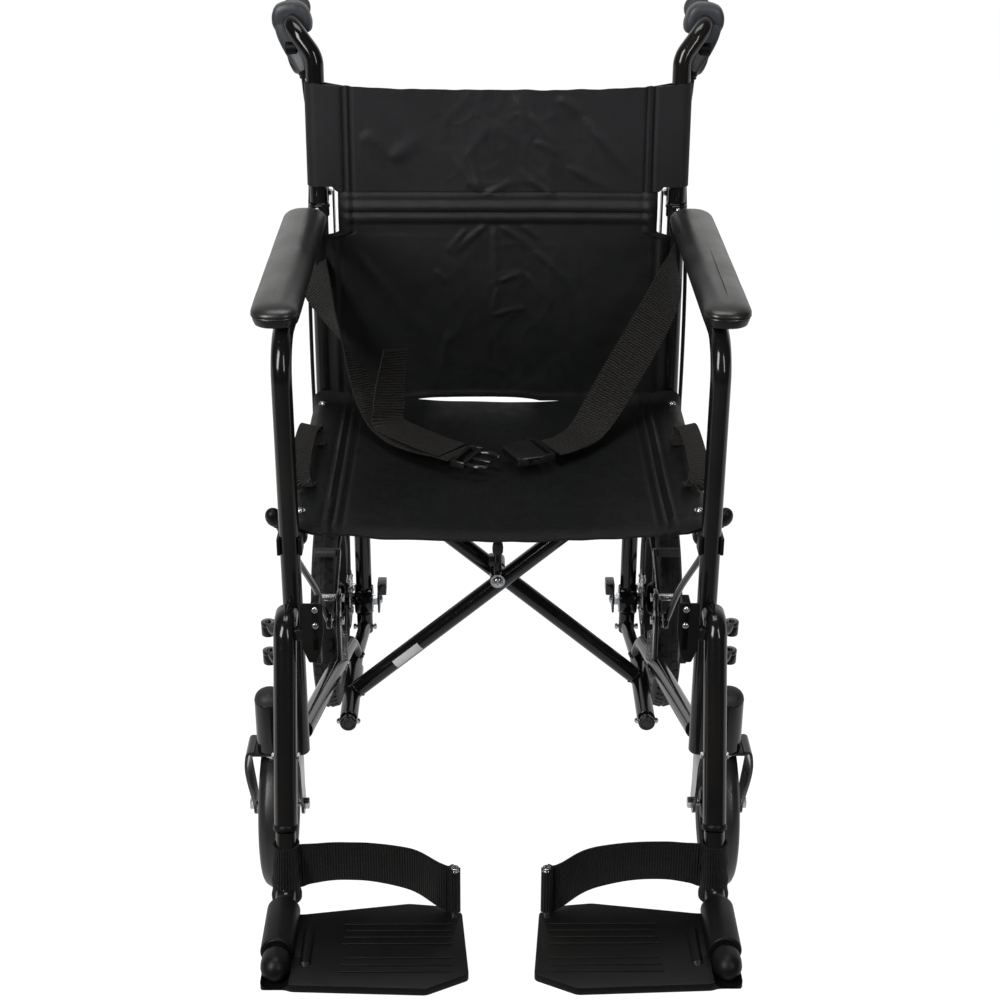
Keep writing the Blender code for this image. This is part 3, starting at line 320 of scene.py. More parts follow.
def lathe(profile, centre, axis, steps=64):
    """Part turned about an axis from (radius, height) pairs. Ends on the axis are closed to a point, and
    a profile that starts and ends off the axis is joined to itself."""
    turn = aimed(axis)
    centre = Vector(centre)
    points, rings = [], []
    for radius, height in profile:
        if radius < 1e-6:
            rings.append([len(points)] * (steps + 1))
            points.append(centre + turn @ Vector((0, 0, height)))
            continue
        first = len(points)
        rings.append([first + i % steps for i in range(steps + 1)])
        points += [centre + turn @ Vector((radius * math.cos(math.tau * i / steps),
                                           radius * math.sin(math.tau * i / steps),
                                           height)) for i in range(steps)]
    v = [0.0]
    closed = profile[0][0] > 1e-6 and profile[-1][0] > 1e-6
    looped = list(profile) + ([profile[0]] if closed else [])
    for a, b in zip(looped, looped[1:]):
        v.append(v[-1] + math.dist(a, b))
    if closed:
        rings.append(rings[0])
    width = math.tau * max(r for r, _ in profile) / steps
    faces, uvs = [], []
    for r in range(len(rings) - 1):
        for i in range(steps):
            quad = (rings[r][i], rings[r][i + 1], rings[r + 1][i + 1], rings[r + 1][i])
            map_to = ((width * i, v[r]), (width * (i + 1), v[r]), (width * (i + 1), v[r + 1]),
                      (width * i, v[r + 1]))
            keep = [k for k in range(4) if quad[k] != quad[k - 1]]
            if len(keep) > 2:
                faces.append(tuple(quad[k] for k in keep))
                uvs.append(tuple(map_to[k] for k in keep))
    return points, faces, uvs


def from_shape(shape):
    """Part from a bmesh, with UVs projected along the nearest axis."""
    shape.normal_update()
    shape.verts.index_update()
    points = [v.co.copy() for v in shape.verts]
    faces, uvs = [], []
    for face in shape.faces:
        faces.append(tuple(v.index for v in face.verts))
        away = max(range(3), key=lambda k: abs(face.normal[k]))
        flat = [k for k in range(3) if k != away]
        uvs.append(tuple((v.co[flat[0]], v.co[flat[1]]) for v in face.verts))
    shape.free()
    return points, faces, uvs


def block(low, high, bevel=0.001, turn=None, segments=3):
    """Box between two corners with rounded edges, turned about its centre if asked."""
    low, high = Vector(low), Vector(high)
    shape = bmesh.new()
    bmesh.ops.create_cube(shape, size=1.0)
    size = high - low
    bmesh.ops.transform(shape, matrix=Matrix.Diagonal((abs(size.x), abs(size.y), abs(size.z), 1)),
                        verts=shape.verts)
    if bevel:
        bmesh.ops.bevel(shape, geom=shape.edges[:], offset=bevel, segments=segments, affect="EDGES",
                        profile=0.5)
    place = Matrix.Translation((low + high) / 2)
    bmesh.ops.transform(shape, matrix=place @ turn if turn else place, verts=shape.verts)
    return from_shape(shape)


def plate(outline, thickness, place, bevel=0.0006):
    """Flat plate from an outline in its own XY plane, with softened rims, moved by a matrix."""
    shape = bmesh.new()
    bottom = shape.faces.new([shape.verts.new((x, y, -thickness / 2)) for x, y in outline])
    made = bmesh.ops.extrude_face_region(shape, geom=[bottom])
    raised = [g for g in made["geom"] if isinstance(g, bmesh.types.BMVert)]
    bmesh.ops.translate(shape, vec=(0, 0, thickness), verts=raised)
    bmesh.ops.recalc_face_normals(shape, faces=shape.faces)
    if bevel:
        rims = [e for e in shape.edges if abs(e.verts[0].co.z - e.verts[1].co.z) < 1e-7]
        bmesh.ops.bevel(shape, geom=rims, offset=bevel, segments=2, affect="EDGES", profile=0.5,
                        clamp_overlap=True)
    bmesh.ops.transform(shape, matrix=place, verts=shape.verts)
    return from_shape(shape)


def moved(part, matrix):
    """Copy of a part moved by a matrix."""
    points, faces, uvs = part
    return [matrix @ p for p in points], faces, uvs


def skin(rows, thickness, wrap=False):
    """Cloth: a grid of points given a thickness, closed round its rim. The thickness is a number, or a
    function of a point."""
    across, down = len(rows[0]), len(rows)
    grid = [[Vector(p) for p in row] for row in rows]
    thick = thickness if callable(thickness) else lambda p: thickness
    inner, outer = [], []
    for r in range(down):
        row_in, row_out = [], []
        for c in range(across):
            if wrap:
                along = grid[r][(c + 1) % across] - grid[r][c - 1]
            else:
                along = grid[r][min(c + 1, across - 1)] - grid[r][max(c - 1, 0)]
            up = grid[min(r + 1, down - 1)][c] - grid[max(r - 1, 0)][c]
            normal = along.cross(up).normalized() * (thick(grid[r][c]) / 2)
            row_out.append(grid[r][c] + normal)
            row_in.append(grid[r][c] - normal)
        outer.append(row_out)
        inner.append(row_in)
    points, faces, uvs = surface(outer, wrap)
    back_points, back_faces, back_uvs = surface(inner, wrap)
    shift = len(points)
    points = points + back_points
    faces = faces + [tuple(i + shift for i in reversed(face)) for face in back_faces]
    uvs = uvs + [tuple(reversed(uv)) for uv in back_uvs]
    rim = [[(0, c), (0, (c + 1) % across)] for c in range(across if wrap else across - 1)]
    rim += [[(down - 1, (c + 1) % across), (down - 1, c)] for c in range(across if wrap else across - 1)]
    if not wrap:
        rim += [[(r + 1, 0), (r, 0)] for r in range(down - 1)]
        rim += [[(r, across - 1), (r + 1, across - 1)] for r in range(down - 1)]
    for (r0, c0), (r1, c1) in rim:
        a, b = r0 * across + c0, r1 * across + c1
        reach = (points[b] - points[a]).length
        deep = (points[a + shift] - points[a]).length
        faces.append((b, a, a + shift, b + shift))
        uvs.append(((reach, 0), (0, 0), (0, deep), (reach, deep)))
    return points, faces, uvs


def stitches(path, pitch=0.0042, length=0.0029, radius=0.00035):
    """Row of sewn thread stitches lying along a path."""
    made = []
    gone, following = 0.0, 0.0
    for a, b in zip(path, path[1:]):
        run = (b - a).length
        while run > 1e-9 and following <= gone + run:
            start = a + (b - a) * ((following - gone) / run)
            way = (b - a).normalized()
            made.append(bar([start, start + way * length], radius, 6, radius * 0.5))
            following += pitch
        gone += run
    return made


def mesh_of(name, parts):
    """Mesh joined from parts, with its UV map and with all its faces turned outward."""
    mesh = bpy.data.meshes.new(name)
    points, faces, flat = [], [], []
    for part_points, part_faces, part_uvs in parts:
        shift = len(points)
        points += part_points
        faces += [tuple(i + shift for i in face) for face in part_faces]
        flat += [c for face_uvs in part_uvs for uv in face_uvs for c in uv]
    mesh.from_pydata(points, [], faces)
    mesh.uv_layers.new(name="UVMap").data.foreach_set("uv", flat)
    shape = bmesh.new()
    shape.from_mesh(mesh)
    bmesh.ops.recalc_face_normals(shape, faces=shape.faces)
    shape.to_mesh(mesh)
    shape.free()
    return mesh


def linked(name, data):
    """Object in the scene that shows a mesh, a light or a camera."""
    obj = bpy.data.objects.new(name, data)
    bpy.context.scene.collection.objects.link(obj)
    return obj


def assemble(name, body, look, parts, stands_for=None, slot=None, crease=35.0):
    """One named piece from its parts, with its material, its CAD body and the CAD node that it stands for.
    Its slot is read from the named slot, or else from the slot that its material usually goes with, but
    nothing uses it."""
    mesh = mesh_of(name, parts)
    mesh.materials.append(look)
    mesh.shade_smooth()
    mesh.set_sharp_from_angle(angle=math.radians(crease))
    obj = linked(name, mesh)
    if body:
        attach(obj, body)
    if stands_for:
        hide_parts(stands_for)
    slot = slot or USUAL_SLOT.get(look.name)
    return obj


# ---------------------------------------------------------------- materials
def finish(name, colour, roughness, metallic=0.0, **sockets):
    """Principled material with uniform values set on the shader's own sockets."""
    made = bpy.data.materials.new(name)
    made.use_nodes = True
    shader = made.node_tree.nodes["Principled BSDF"]
    shader.inputs["Base Color"].default_value = (*colour, 1)
    shader.inputs["Roughness"].default_value = roughness
    shader.inputs["Metallic"].default_value = metallic
    for socket, value in sockets.items():
        shader.inputs[socket.replace("_", " ")].default_value = value
    return made


def node(look, kind, inputs=(), **settings):
    """Shader node with its settings, and its inputs linked or set by name or number."""
    made = look.node_tree.nodes.new("ShaderNode" + kind)
    for key, value in settings.items():
        setattr(made, key, value)
    for key, value in dict(inputs).items():
        if isinstance(value, bpy.types.NodeSocket):
            look.node_tree.links.new(value, made.inputs[key])
        else:
            made.inputs[key].default_value = value
    return made


def feed(look, socket, value):
    """Link a value to a socket of the material's shader."""
    look.node_tree.links.new(value, look.node_tree.nodes["Principled BSDF"].inputs[socket])


def place_of(look, output="Object"):
    """Coordinates that stay on the piece: object space, or UV in metres."""
    return node(look, "TexCoord").outputs[output]


def noise_of(look, place, scale, detail=4.0, rough=0.55, distortion=0.0):
    """Noise value between 0 and 1."""
    return node(look, "TexNoise", {"Vector": place, "Scale": scale, "Detail": detail, "Roughness": rough,
                                   "Distortion": distortion}).outputs["Fac"]


def between(look, value, low, high, source=(0.3, 0.7)):
    """Value mapped from a source range to another range."""
    return node(look, "MapRange", {"Value": value, "From Min": source[0], "From Max": source[1],
                                   "To Min": low, "To Max": high}).outputs["Result"]


def mixed(look, factor, first, second):
    """Colour between two colours."""
    made = node(look, "Mix", data_type="RGBA")
    for key, value in ((0, factor), (6, first), (7, second)):
        if isinstance(value, bpy.types.NodeSocket):
            look.node_tree.links.new(value, made.inputs[key])
        else:
            made.inputs[key].default_value = (*value, 1)
    return made.outputs[2]


def maths(look, operation, first, second=0.0):
    """Result of a maths node."""
    return node(look, "Math", {0: first, 1: second}, operation=operation).outputs[0]


def raised(look, heights):
    """Chain of bump nodes from (height, strength, distance) triples, fed to the shader's normal."""
    normal = None
    for height, strength, distance in heights:
        inputs = {"Height": height, "Strength": strength, "Distance": distance}
        if normal is not None:
            inputs["Normal"] = normal
        normal = node(look, "Bump", inputs).outputs["Normal"]
    feed(look, "Normal", normal)


def moulded(name, dark, light, smooth, rough, grain=1500.0, depth=0.00012, metallic=0.0, **sockets):
    """Finish whose colour and roughness drift over the piece, with a fine grain and scuffs."""
    look = finish(name, dark, smooth, metallic, **sockets)
    place = place_of(look)
    drift = noise_of(look, place, 9.0)
    feed(look, "Base Color", mixed(look, between(look, drift, 0, 1), dark, light))
    smudge = noise_of(look, place, 38.0, 6.0, 0.65, 0.6)
    feed(look, "Roughness", between(look, smudge, smooth, rough))
    raised(look, [(noise_of(look, place, grain, 2.0), 0.5, depth),
                  (noise_of(look, place, 60.0, 3.0), 0.25, 0.0003)])
    return look


def coarse_weave(look, place, across, along, depth):
    """Plain weave of threads from UVs in metres: one height, used for the bump and also as a painted shade
    pattern between the threads.
    """
    split = node(look, "SeparateXYZ", {0: place})
    warp = maths(look, "SINE", maths(look, "MULTIPLY", split.outputs[0], math.tau / across))
    weft = maths(look, "SINE", maths(look, "MULTIPLY", split.outputs[1], math.tau / along))
    return maths(look, "MULTIPLY", maths(look, "MULTIPLY", warp, weft), depth)


def nylon(name, dark, light, sheen, shine, painted_light_top=None):
    """Coated nylon cloth: fine weave painted lighter on its threads' crests (painted shade between the
    threads), soft streaks and a faint sheen. Given a second pair of colours, it is painted paler towards
    the top: painted light for a more brightly lit top.
    """
    look = finish(name, dark, 0.55, Sheen_Weight=sheen, Sheen_Roughness=0.35, Specular_IOR_Level=shine)
    place = place_of(look, "UV")
    weave = coarse_weave(look, place, 0.0011, 0.0011, 1.0)
    streaked = node(look, "Mapping", {"Vector": place, "Scale": (420.0, 9.0, 1.0)}).outputs[0]
    streaks = noise_of(look, streaked, 1.0, 3.0)
    drift = noise_of(look, place, 11.0, 3.0)
    # Painted shade: the weave height also sets the colour, lighter on the threads and darker between them.
    thread = between(look, weave, 0, 1, (-1.0, 1.0))
    tone = maths(look, "ADD", maths(look, "MULTIPLY", streaks, 0.25), maths(look, "MULTIPLY", thread, 0.25))
    tone = maths(look, "ADD", tone, maths(look, "MULTIPLY", drift, 0.35))
    share = between(look, tone, 0, 1, (0.20, 0.65))
    colour = mixed(look, share, dark, light)
    # Painted light: towards the top the colour turns to the paler pair, standing in for the upper back
    # being more brightly lit.
    if painted_light_top:
        height = node(look, "SeparateXYZ", {0: place_of(look)}).outputs[2]
        colour = mixed(look, between(look, height, 0, 1, (0.56, 0.84)), colour, mixed(look, share, *painted_light_top))
    feed(look, "Base Color", colour)
    feed(look, "Roughness", between(look, noise_of(look, place, 60.0), 0.40, 0.54))
    raised(look, [(weave, 0.35, 0.00018), (noise_of(look, place, 90.0, 4.0), 0.35, 0.0005)])
    return look


def webbing(name, dark, light, pitch=0.0034, slant=0.30):
    """Belt webbing: slanted ribs that alternate across the strap, from UVs in metres, with the colour
    painted lighter on the rib crests as painted shade in the grooves.
    """
    look = finish(name, dark, 0.62, Sheen_Weight=0.03, Sheen_Roughness=0.4, Specular_IOR_Level=0.2)
    place = place_of(look, "UV")
    split = node(look, "SeparateXYZ", {0: place})
    across, along = split.outputs[0], split.outputs[1]
    zigzag = maths(look, "PINGPONG", across, 0.0032)
    phase = maths(look, "ADD", along, maths(look, "MULTIPLY", zigzag, slant))
    rib = maths(look, "SINE", maths(look, "MULTIPLY", phase, math.tau / pitch))
    warp = maths(look, "SINE", maths(look, "MULTIPLY", across, math.tau / 0.0016))
    height = maths(look, "ADD", maths(look, "MULTIPLY", rib, 0.8), maths(look, "MULTIPLY", warp, 0.35))
    fuzz = noise_of(look, place, 300.0, 3.0)
    # Painted shade: the rib height also darkens the colour in the grooves and lightens it on the crests.
    tone = maths(look, "ADD", maths(look, "MULTIPLY", height, 0.3), fuzz)
    feed(look, "Base Color", mixed(look, between(look, tone, 0, 1, (0.25, 0.80)), dark, light))
    raised(look, [(height, 1.0, 0.0014), (fuzz, 0.3, 0.0002)])
    return look


def vinyl(name):
    """Moulded armrest skin: leather grain with a soft shine and rubbed patches."""
    look = finish(name, (0.012, 0.012, 0.012), 0.3, Coat_Weight=0.25, Coat_Roughness=0.28)
    place = place_of(look)
    cells = node(look, "TexVoronoi", {"Vector": place, "Scale": 620.0},
                 feature="DISTANCE_TO_EDGE").outputs["Distance"]
    pores = node(look, "TexVoronoi", {"Vector": place, "Scale": 1500.0}).outputs["Distance"]
    rub = noise_of(look, place, 26.0, 5.0)
    feed(look, "Base Color", mixed(look, between(look, rub, 0, 1), (0.009, 0.009, 0.009),
                                   (0.022, 0.021, 0.020)))
    feed(look, "Roughness", between(look, rub, 0.27, 0.40))
    raised(look, [(cells, 0.35, 0.0002), (pores, 0.2, 0.0001),
                  (noise_of(look, place, 24.0, 2.0), 0.3, 0.0008)])
    return look


def paint(name):
    """Gloss black powder paint with a little orange peel, dust and wear."""
    look = finish(name, (0.006, 0.006, 0.007), 0.16, Coat_Weight=0.6, Coat_Roughness=0.10, Coat_IOR=1.45,
                  Specular_IOR_Level=0.25)
    place = place_of(look)
    drift = noise_of(look, place, 7.0, 4.0)
    scuff = node(look, "Mapping", {"Vector": place, "Scale": (1.0, 1.0, 0.12)}).outputs[0]
    scratches = noise_of(look, scuff, 240.0, 5.0, 0.7)
    feed(look, "Base Color", mixed(look, between(look, drift, 0, 1), (0.005, 0.005, 0.006),
                                   (0.012, 0.011, 0.010)))
    feed(look, "Roughness", between(look, scratches, 0.10, 0.26, (0.35, 0.75)))
    raised(look, [(noise_of(look, place, 700.0, 2.0), 0.12, 0.0002),
                  (noise_of(look, place, 120.0, 2.0), 0.10, 0.0006)])
    return look


def steel(name, colour, smooth, rough):
    """Plated steel with cloudy plating and fine scratches."""
    look = finish(name, colour, smooth, 1.0)
    place = place_of(look)
    cloud = noise_of(look, place, 180.0, 5.0, 0.6)
    worn = tuple(c * 0.62 for c in colour)
    feed(look, "Base Color", mixed(look, between(look, cloud, 0, 1), worn, colour))
    feed(look, "Roughness", between(look, noise_of(look, place, 420.0, 4.0), smooth, rough))
    raised(look, [(noise_of(look, place, 1600.0, 3.0), 0.3, 0.0001)])
    return look


PAINT = paint("gloss_paint")
PLASTIC = moulded("satin_plastic", (0.0035, 0.0035, 0.004), (0.0080, 0.0077, 0.0072), 0.34, 0.48,
                  Specular_IOR_Level=0.22)
CAP_PLASTIC = moulded("gloss_plastic", (0.010, 0.010, 0.011), (0.016, 0.016, 0.016), 0.16, 0.26, 900.0,
                      0.00005)
GREY_PLASTIC = moulded("housing_plastic", (0.028, 0.032, 0.038), (0.050, 0.055, 0.064), 0.34, 0.48)
RUBBER = moulded("rubber", (0.014, 0.014, 0.015), (0.030, 0.029, 0.028), 0.48, 0.68, 1100.0, 0.0002)
TYRE = moulded("tyre", (0.005, 0.005, 0.005), (0.013, 0.012, 0.011), 0.50, 0.70, 900.0, 0.0003,
               Specular_IOR_Level=0.3)
SMALL_TYRE = moulded("caster_tyre", (0.012, 0.012, 0.013), (0.024, 0.023, 0.023), 0.28, 0.42, 800.0, 0.0002)
VINYL = vinyl("armrest_vinyl")
NYLON = nylon("nylon_cloth", (0.0016, 0.0019, 0.0020), (0.0075, 0.0080, 0.0082), 0.014, 0.20)
# The last colour pair is painted light: the back cloth is painted paler towards its top.
BACK_NYLON = nylon("nylon_back_cloth", (0.0012, 0.0015, 0.0018), (0.0050, 0.0055, 0.0060), 0.012, 0.30,
                   ((0.0085, 0.0085, 0.0098), (0.0210, 0.0210, 0.0235)))
WEBBING = webbing("belt_webbing", (0.0030, 0.0028, 0.0024), (0.0560, 0.0530, 0.0460))
STRAP = webbing("heel_webbing", (0.0020, 0.0020, 0.0019), (0.0130, 0.0125, 0.0115), 0.0030, 0.0)
THREAD = moulded("thread", (0.0040, 0.0040, 0.0042), (0.0100, 0.0098, 0.0095), 0.5, 0.7,
                 Specular_IOR_Level=0.2)
ZINC = steel("zinc", (0.74, 0.76, 0.79), 0.16, 0.34)
DULL_STEEL = steel("dull_steel", (0.42, 0.42, 0.43), 0.28, 0.46)
WIRE = steel("wire", (0.55, 0.54, 0.52), 0.25, 0.40)
LABEL = moulded("blank_label", (0.66, 0.66, 0.65), (0.74, 0.74, 0.73), 0.30, 0.42)
USUAL_SLOT = {
    "gloss_paint": "gloss_black_paint", "satin_plastic": "satin_black_plastic",
    "gloss_plastic": "satin_black_plastic",
    "housing_plastic": "satin_black_plastic", "rubber": "black_rubber", "tyre": "black_rubber",
    "caster_tyre": "grey_tyre", "armrest_vinyl": "black_vinyl", "nylon_cloth": "black_nylon",
    "nylon_back_cloth": "black_nylon", "thread": "black_nylon", "belt_webbing": "black_webbing",
    "heel_webbing": "black_webbing", "zinc": "zinc_steel", "dull_steel": "zinc_steel", "wire": "zinc_steel",
}


# ---------------------------------------------------------------- fasteners
def carved(part, tools):
    """Part with others cut away from it."""
    base = linked("work", mesh_of("work", [part]))
    for tool in tools:
        other = linked("work", mesh_of("work", [tool]))
        step = base.modifiers.new("step", "BOOLEAN")
        step.operation = "DIFFERENCE"
        step.solver = "EXACT"
        step.object = other
        bpy.context.view_layer.update()
        mesh = bpy.data.meshes.new_from_object(base.evaluated_get(bpy.context.evaluated_depsgraph_get()))
        base.modifiers.clear()
        base.data = mesh
        bpy.data.objects.remove(other, do_unlink=True)
    mesh = base.data
    layer = mesh.uv_layers[0].data
    points = [v.co.copy() for v in mesh.vertices]
    faces = [tuple(p.vertices) for p in mesh.polygons]
    uvs = [tuple(tuple(layer[i].uv) for i in p.loop_indices) for p in mesh.polygons]
    bpy.data.objects.remove(base, do_unlink=True)
    return points, faces, uvs


HEAD_R = 0.0040                                 # master screw head, scaled where it is used
dome = lathe(eased([(0.0, 0.0024), (0.0022, 0.0022), (0.0034, 0.0014), (HEAD_R, 0.0), (0.0034, -0.0006),
                    (0.0, -0.0006)], 0.0005), (0, 0, 0), (0, 0, 1), 32)
CROSS_HEAD = carved(dome, [block((-0.0022, -0.00038, 0.0009), (0.0022, 0.00038, 0.004), 0.0),
                           block((-0.00038, -0.0022, 0.0009), (0.00038, 0.0022, 0.004), 0.0)])
CAP_HEAD = carved(lathe(eased([(0.0, 0.0032), (0.0036, 0.0032), (HEAD_R, 0.0026), (HEAD_R, 0.0),
                               (0.0, 0.0)], 0.0004), (0, 0, 0), (0, 0, 1), 32),
                  [lathe([(0.0, 0.006), (0.0021, 0.006), (0.0021, 0.0012), (0.0, 0.0012)], (0, 0, 0),
                         (0, 0, 1), 6)])
HEX_HEAD = lathe(eased([(0.0, 0.0030), (0.0036, 0.0030), (0.0042, 0.0026), (0.0042, 0.0), (0.0, 0.0)],
                       0.0002), (0, 0, 0), (0, 0, 1), 6)


def fastener(head, at, direction, radius):
    """Screw or bolt head of a given radius, standing on a point."""
    return moved(head, Matrix.Translation(at) @ aimed(direction) @ Matrix.Scale(radius / HEAD_R, 4))


def washer(at, direction, radius, thickness=0.0010, bore=0.0028):
    """Flat washer standing on a point."""
    return lathe([(bore, 0.0), (radius, 0.0), (radius, thickness), (bore, thickness)], at, direction, 32)


def through_bolt(at, way, half, radius, seat, head, sides=24):
    """Bolt through a point: its shank, and a hexagonal head on each side at a distance from the point."""
    return [rod(at - way * half, at + way * half, radius, sides),
            fastener(HEX_HEAD, at + way * seat, way, head), fastener(HEX_HEAD, at - way * seat, -way, head)]


def arm_outline(length, root, tip, step):
    """Outline of a flat arm with round ends: its root at the origin, and its tip at a length along +X. The
    step is the angle between the points of an end, in degrees."""
    return [(centre + radius * math.cos(math.radians(a)), radius * math.sin(math.radians(a)))
            for centre, radius, first in ((0.0, root, 90), (length, tip, -90))
            for a in range(first, first + 181, step)]


def weld(centre, axis, radius, size=0.0016, steps=64):
    """Slightly lumpy weld bead round a joint."""
    rows = []
    turn = aimed(axis)
    centre = Vector(centre)
    for i in range(steps):
        a = math.tau * i / steps
        lump = size * (1 + 0.25 * math.sin(9 * a) + 0.12 * math.sin(23 * a))
        out = Vector((math.cos(a), math.sin(a), 0))
        rows.append([centre + turn @ (out * (radius + lump * math.cos(math.tau * k / 10))
                                      + Vector((0, 0,
                                                lump * math.sin(math.tau * k / 10)))) for k in range(10)])
    rows.append(rows[0])
    return surface(rows, wrap=True)


# ---------------------------------------------------------------- side frame
def lug(s, z):
    """Hook-shaped hinge lug that reaches outboard from the front upright to the swing pin."""
    outline = []
    for i in range(15):
        turn = math.radians(-120 + 20 * i)
        outline.append((s * (SWING.x + 0.0078 * math.cos(turn)), SWING.y + 0.0078 * math.sin(turn)))
    outline += [(s * (SWING.x - 0.0085), SWING.y + 0.0088), (s * (SWING.x - 0.013), FRONT_Y + 0.004),
                (s * (ARM_X + 0.003), FRONT_Y + 0.0075), (s * (ARM_X + 0.003), SWING.y + 0.0050),
                (s * (SWING.x - 0.0105), SWING.y + 0.0008)]
    ring = plate(outline, 0.0110, Matrix.Translation((0, 0, z - 0.0030)), 0.0016)
    return carved(ring, [rod((s * SWING.x, SWING.y, z - 0.02), (s * SWING.x, SWING.y, z + 0.02), 0.0037,
                             24)])


def arm_frame(tag, s):
    """Front upright and arm tube in one bend, with the hinge lugs of the footrest."""
    x = s * ARM_X
    path = rounded([(x, FRONT_Y, 0.2095), (x, FRONT_Y, ARM_Z), (x, cane_y(ARM_Z) - TUBE_R - GAP, ARM_Z)],
                   [ARM_BEND], 24)
    parts = [bar(path, TUBE_R, 40, 0.0010), lug(s, 0.3790), lug(s, 0.3430)]
    parts.append(lathe(eased([(0.0, -0.0010), (0.0092, -0.0010), (0.0106, 0.0005), (0.0106, 0.003),
                              (0.0, 0.003)]), (x, FRONT_Y, 0.2090), (0, 0, 1), 40))
    assemble("arm_frame_piece_" + tag, "frame_" + tag, PAINT, parts, "arm_frame_" + tag)
    clip = []
    for side in (-1, 1):
        clip.append(block((x + side * 0.0098, FRONT_Y - 0.0085, 0.4655),
                          (x + side * 0.0138, FRONT_Y + 0.0130, 0.4860), 0.0012))
    clip.append(block((x - 0.0118, FRONT_Y + 0.0112, 0.4655), (x + 0.0118, FRONT_Y + 0.0138, 0.4860),
                      0.0010))
    assemble("rail_saddle_" + tag, "frame_" + tag, PLASTIC, clip)


def rear_post(tag, s):
    """Lower cane, its inward bend behind the seat and the rear post with the axle boss."""
    points = [(s * CANE_X, cane_y(HINGE_FOOT + 0.0065), HINGE_FOOT + 0.0065),
              (s * CANE_X, cane_y(0.43), 0.43),
              (s * POST_X, REAR_HUB.y, 0.315), (s * POST_X, REAR_HUB.y, post_low.z)]
    hub = Vector((s * POST_X, REAR_HUB.y, REAR_HUB.z))
    out = Vector((s, 0, 0))
    boss = lathe(eased([(0.0070, 0.0125), (0.0205, 0.0125), (0.0210, 0.0), (0.0205, -0.0125),
                        (0.0070, -0.0125)], 0.0025), hub, out, 56)
    parts = [bar(rounded(points, [0.06, 0.06], 16), TUBE_R, 40, 0.0008), boss,
             weld(hub + Vector((0, 0, 0.0200)), (0, 0, 1), TUBE_R, 0.0014),
             weld(hub - Vector((0, 0, 0.0200)), (0, 0, 1), TUBE_R, 0.0014)]
    assemble("rear_post_piece_" + tag, "frame_" + tag, PAINT, parts, "rear_post_" + tag)
    low = Vector((s * POST_X, REAR_HUB.y, post_low.z + 0.0075))
    bolts = through_bolt(low, out, 0.0165, 0.0030, 0.0128, 0.0044)
    assemble("post_bolt_" + tag, "frame_" + tag, ZINC, bolts, crease=25.0)
    inward = s * (POST_X - 0.0195)
    bracket = [block((inward - s * 0.0125, hub.y - 0.0120, hub.z + 0.0115),
                     (inward, hub.y + 0.0120, hub.z + 0.0290), 0.0016),
               block((inward - s * 0.0030, hub.y - 0.0130, hub.z - 0.0160),
                     (inward, hub.y + 0.0130, hub.z + 0.0280), 0.0012)]
    assemble("post_bracket_" + tag, "frame_" + tag, PAINT, bracket)


def side_rail(tag, s):
    """Lower side tube, the brace pivot bar under it with its end cap, and the wheel lock bracket."""
    front = (s * (ARM_X - 0.003), FRONT_Y + TUBE_R + 0.0030, 0.228)
    apex = (s * 0.1985, 0.186, 0.1500)
    foot = (s * (PIVOT.x + 0.001), 0.192, PIVOT.z)
    bar_front, bar_rear = 0.0285, 0.20
    tail = (s * POST_X, REAR_HUB.y - TUBE_R - 0.0012, 0.112)
    parts = [bar(rounded([front, apex, foot], [0.018], 14), TUBE_R, 40),
             bar([(s * PIVOT.x, bar_front, PIVOT.z), (s * PIVOT.x, bar_rear, PIVOT.z), tail], 0.0090, 36),
             block((s * LOCK_PLATE_IN, LOCK.y - 0.016, 0.160),
                   (s * LOCK_PLATE_OUT, LOCK.y + 0.016, LOCK.z + 0.016), 0.0012),
             weld((s * PIVOT.x, 0.192, PIVOT.z + 0.006), (0, 0, 1), TUBE_R - 0.001, 0.0015)]
    assemble("side_rail_piece_" + tag, "frame_" + tag, PAINT, parts, "side_rail_" + tag)
    face = Vector((s * PIVOT.x, bar_front, PIVOT.z))
    cap = lathe(eased([(0.0, 0.0032), (0.0052, 0.0032), (0.0060, 0.0026), (0.0070, 0.0032),
                       (0.0095, 0.0030),
                       (0.0106, 0.0016), (0.0106, -0.0010), (0.0, -0.0010)], 0.0004), face, (0, -1, 0), 48)
    assemble("pivot_bar_cap_" + tag, "frame_" + tag, CAP_PLASTIC, [cap])
    bolt_at = face + Vector((0, 0.0052, 0))
    out = Vector((1, 0, 0))
    bolts = through_bolt(bolt_at, out, 0.0152, 0.0024, 0.0112, 0.0038)
    bolts += [washer(bolt_at + out * 0.0102, out, 0.0044), washer(bolt_at - out * 0.0102, -out, 0.0044)]
    assemble("pivot_bar_bolt_" + tag, "frame_" + tag, ZINC, bolts, crease=25.0)


def seat_rail(tag, s, body):
    """Tube along the edge of the seat, plugged at both ends, with the two strip screws."""
    x = s * CANE_X
    parts = [bar([(x, SEAT_FRONT, SEAT_Z), (x, SEAT_REAR, SEAT_Z)], TUBE_R, 40, 0.0012)]
    assemble("seat_rail_piece_" + tag, body, PAINT, parts, "seat_rail_" + tag)
    plugs = [lathe(eased([(0.0, 0.0025), (0.0090, 0.0025), (0.0106, 0.0012), (0.0106, -0.001),
                          (0.0, -0.001)], 0.0005),
                   (x, y, SEAT_Z), (0, way, 0), 40) for y, way in ((SEAT_FRONT, -1), (SEAT_REAR, 1))]
    assemble("seat_rail_plugs_" + tag, body, CAP_PLASTIC, plugs)
    top = SEAT_Z + TUBE_R + GAP + CLOTH_T + 0.0003
    screws = []
    for y in (SEAT_FRONT + 0.040, SEAT_REAR - 0.006):
        screws += [washer((x, y, top - 0.0004), (0, 0, 1), 0.0058, 0.0008, 0.0016),
                   fastener(CROSS_HEAD, (x, y, top + 0.0004), (0, 0, 1), 0.0044)]
    assemble("seat_strip_screws_" + tag, body, ZINC, screws, crease=30.0)


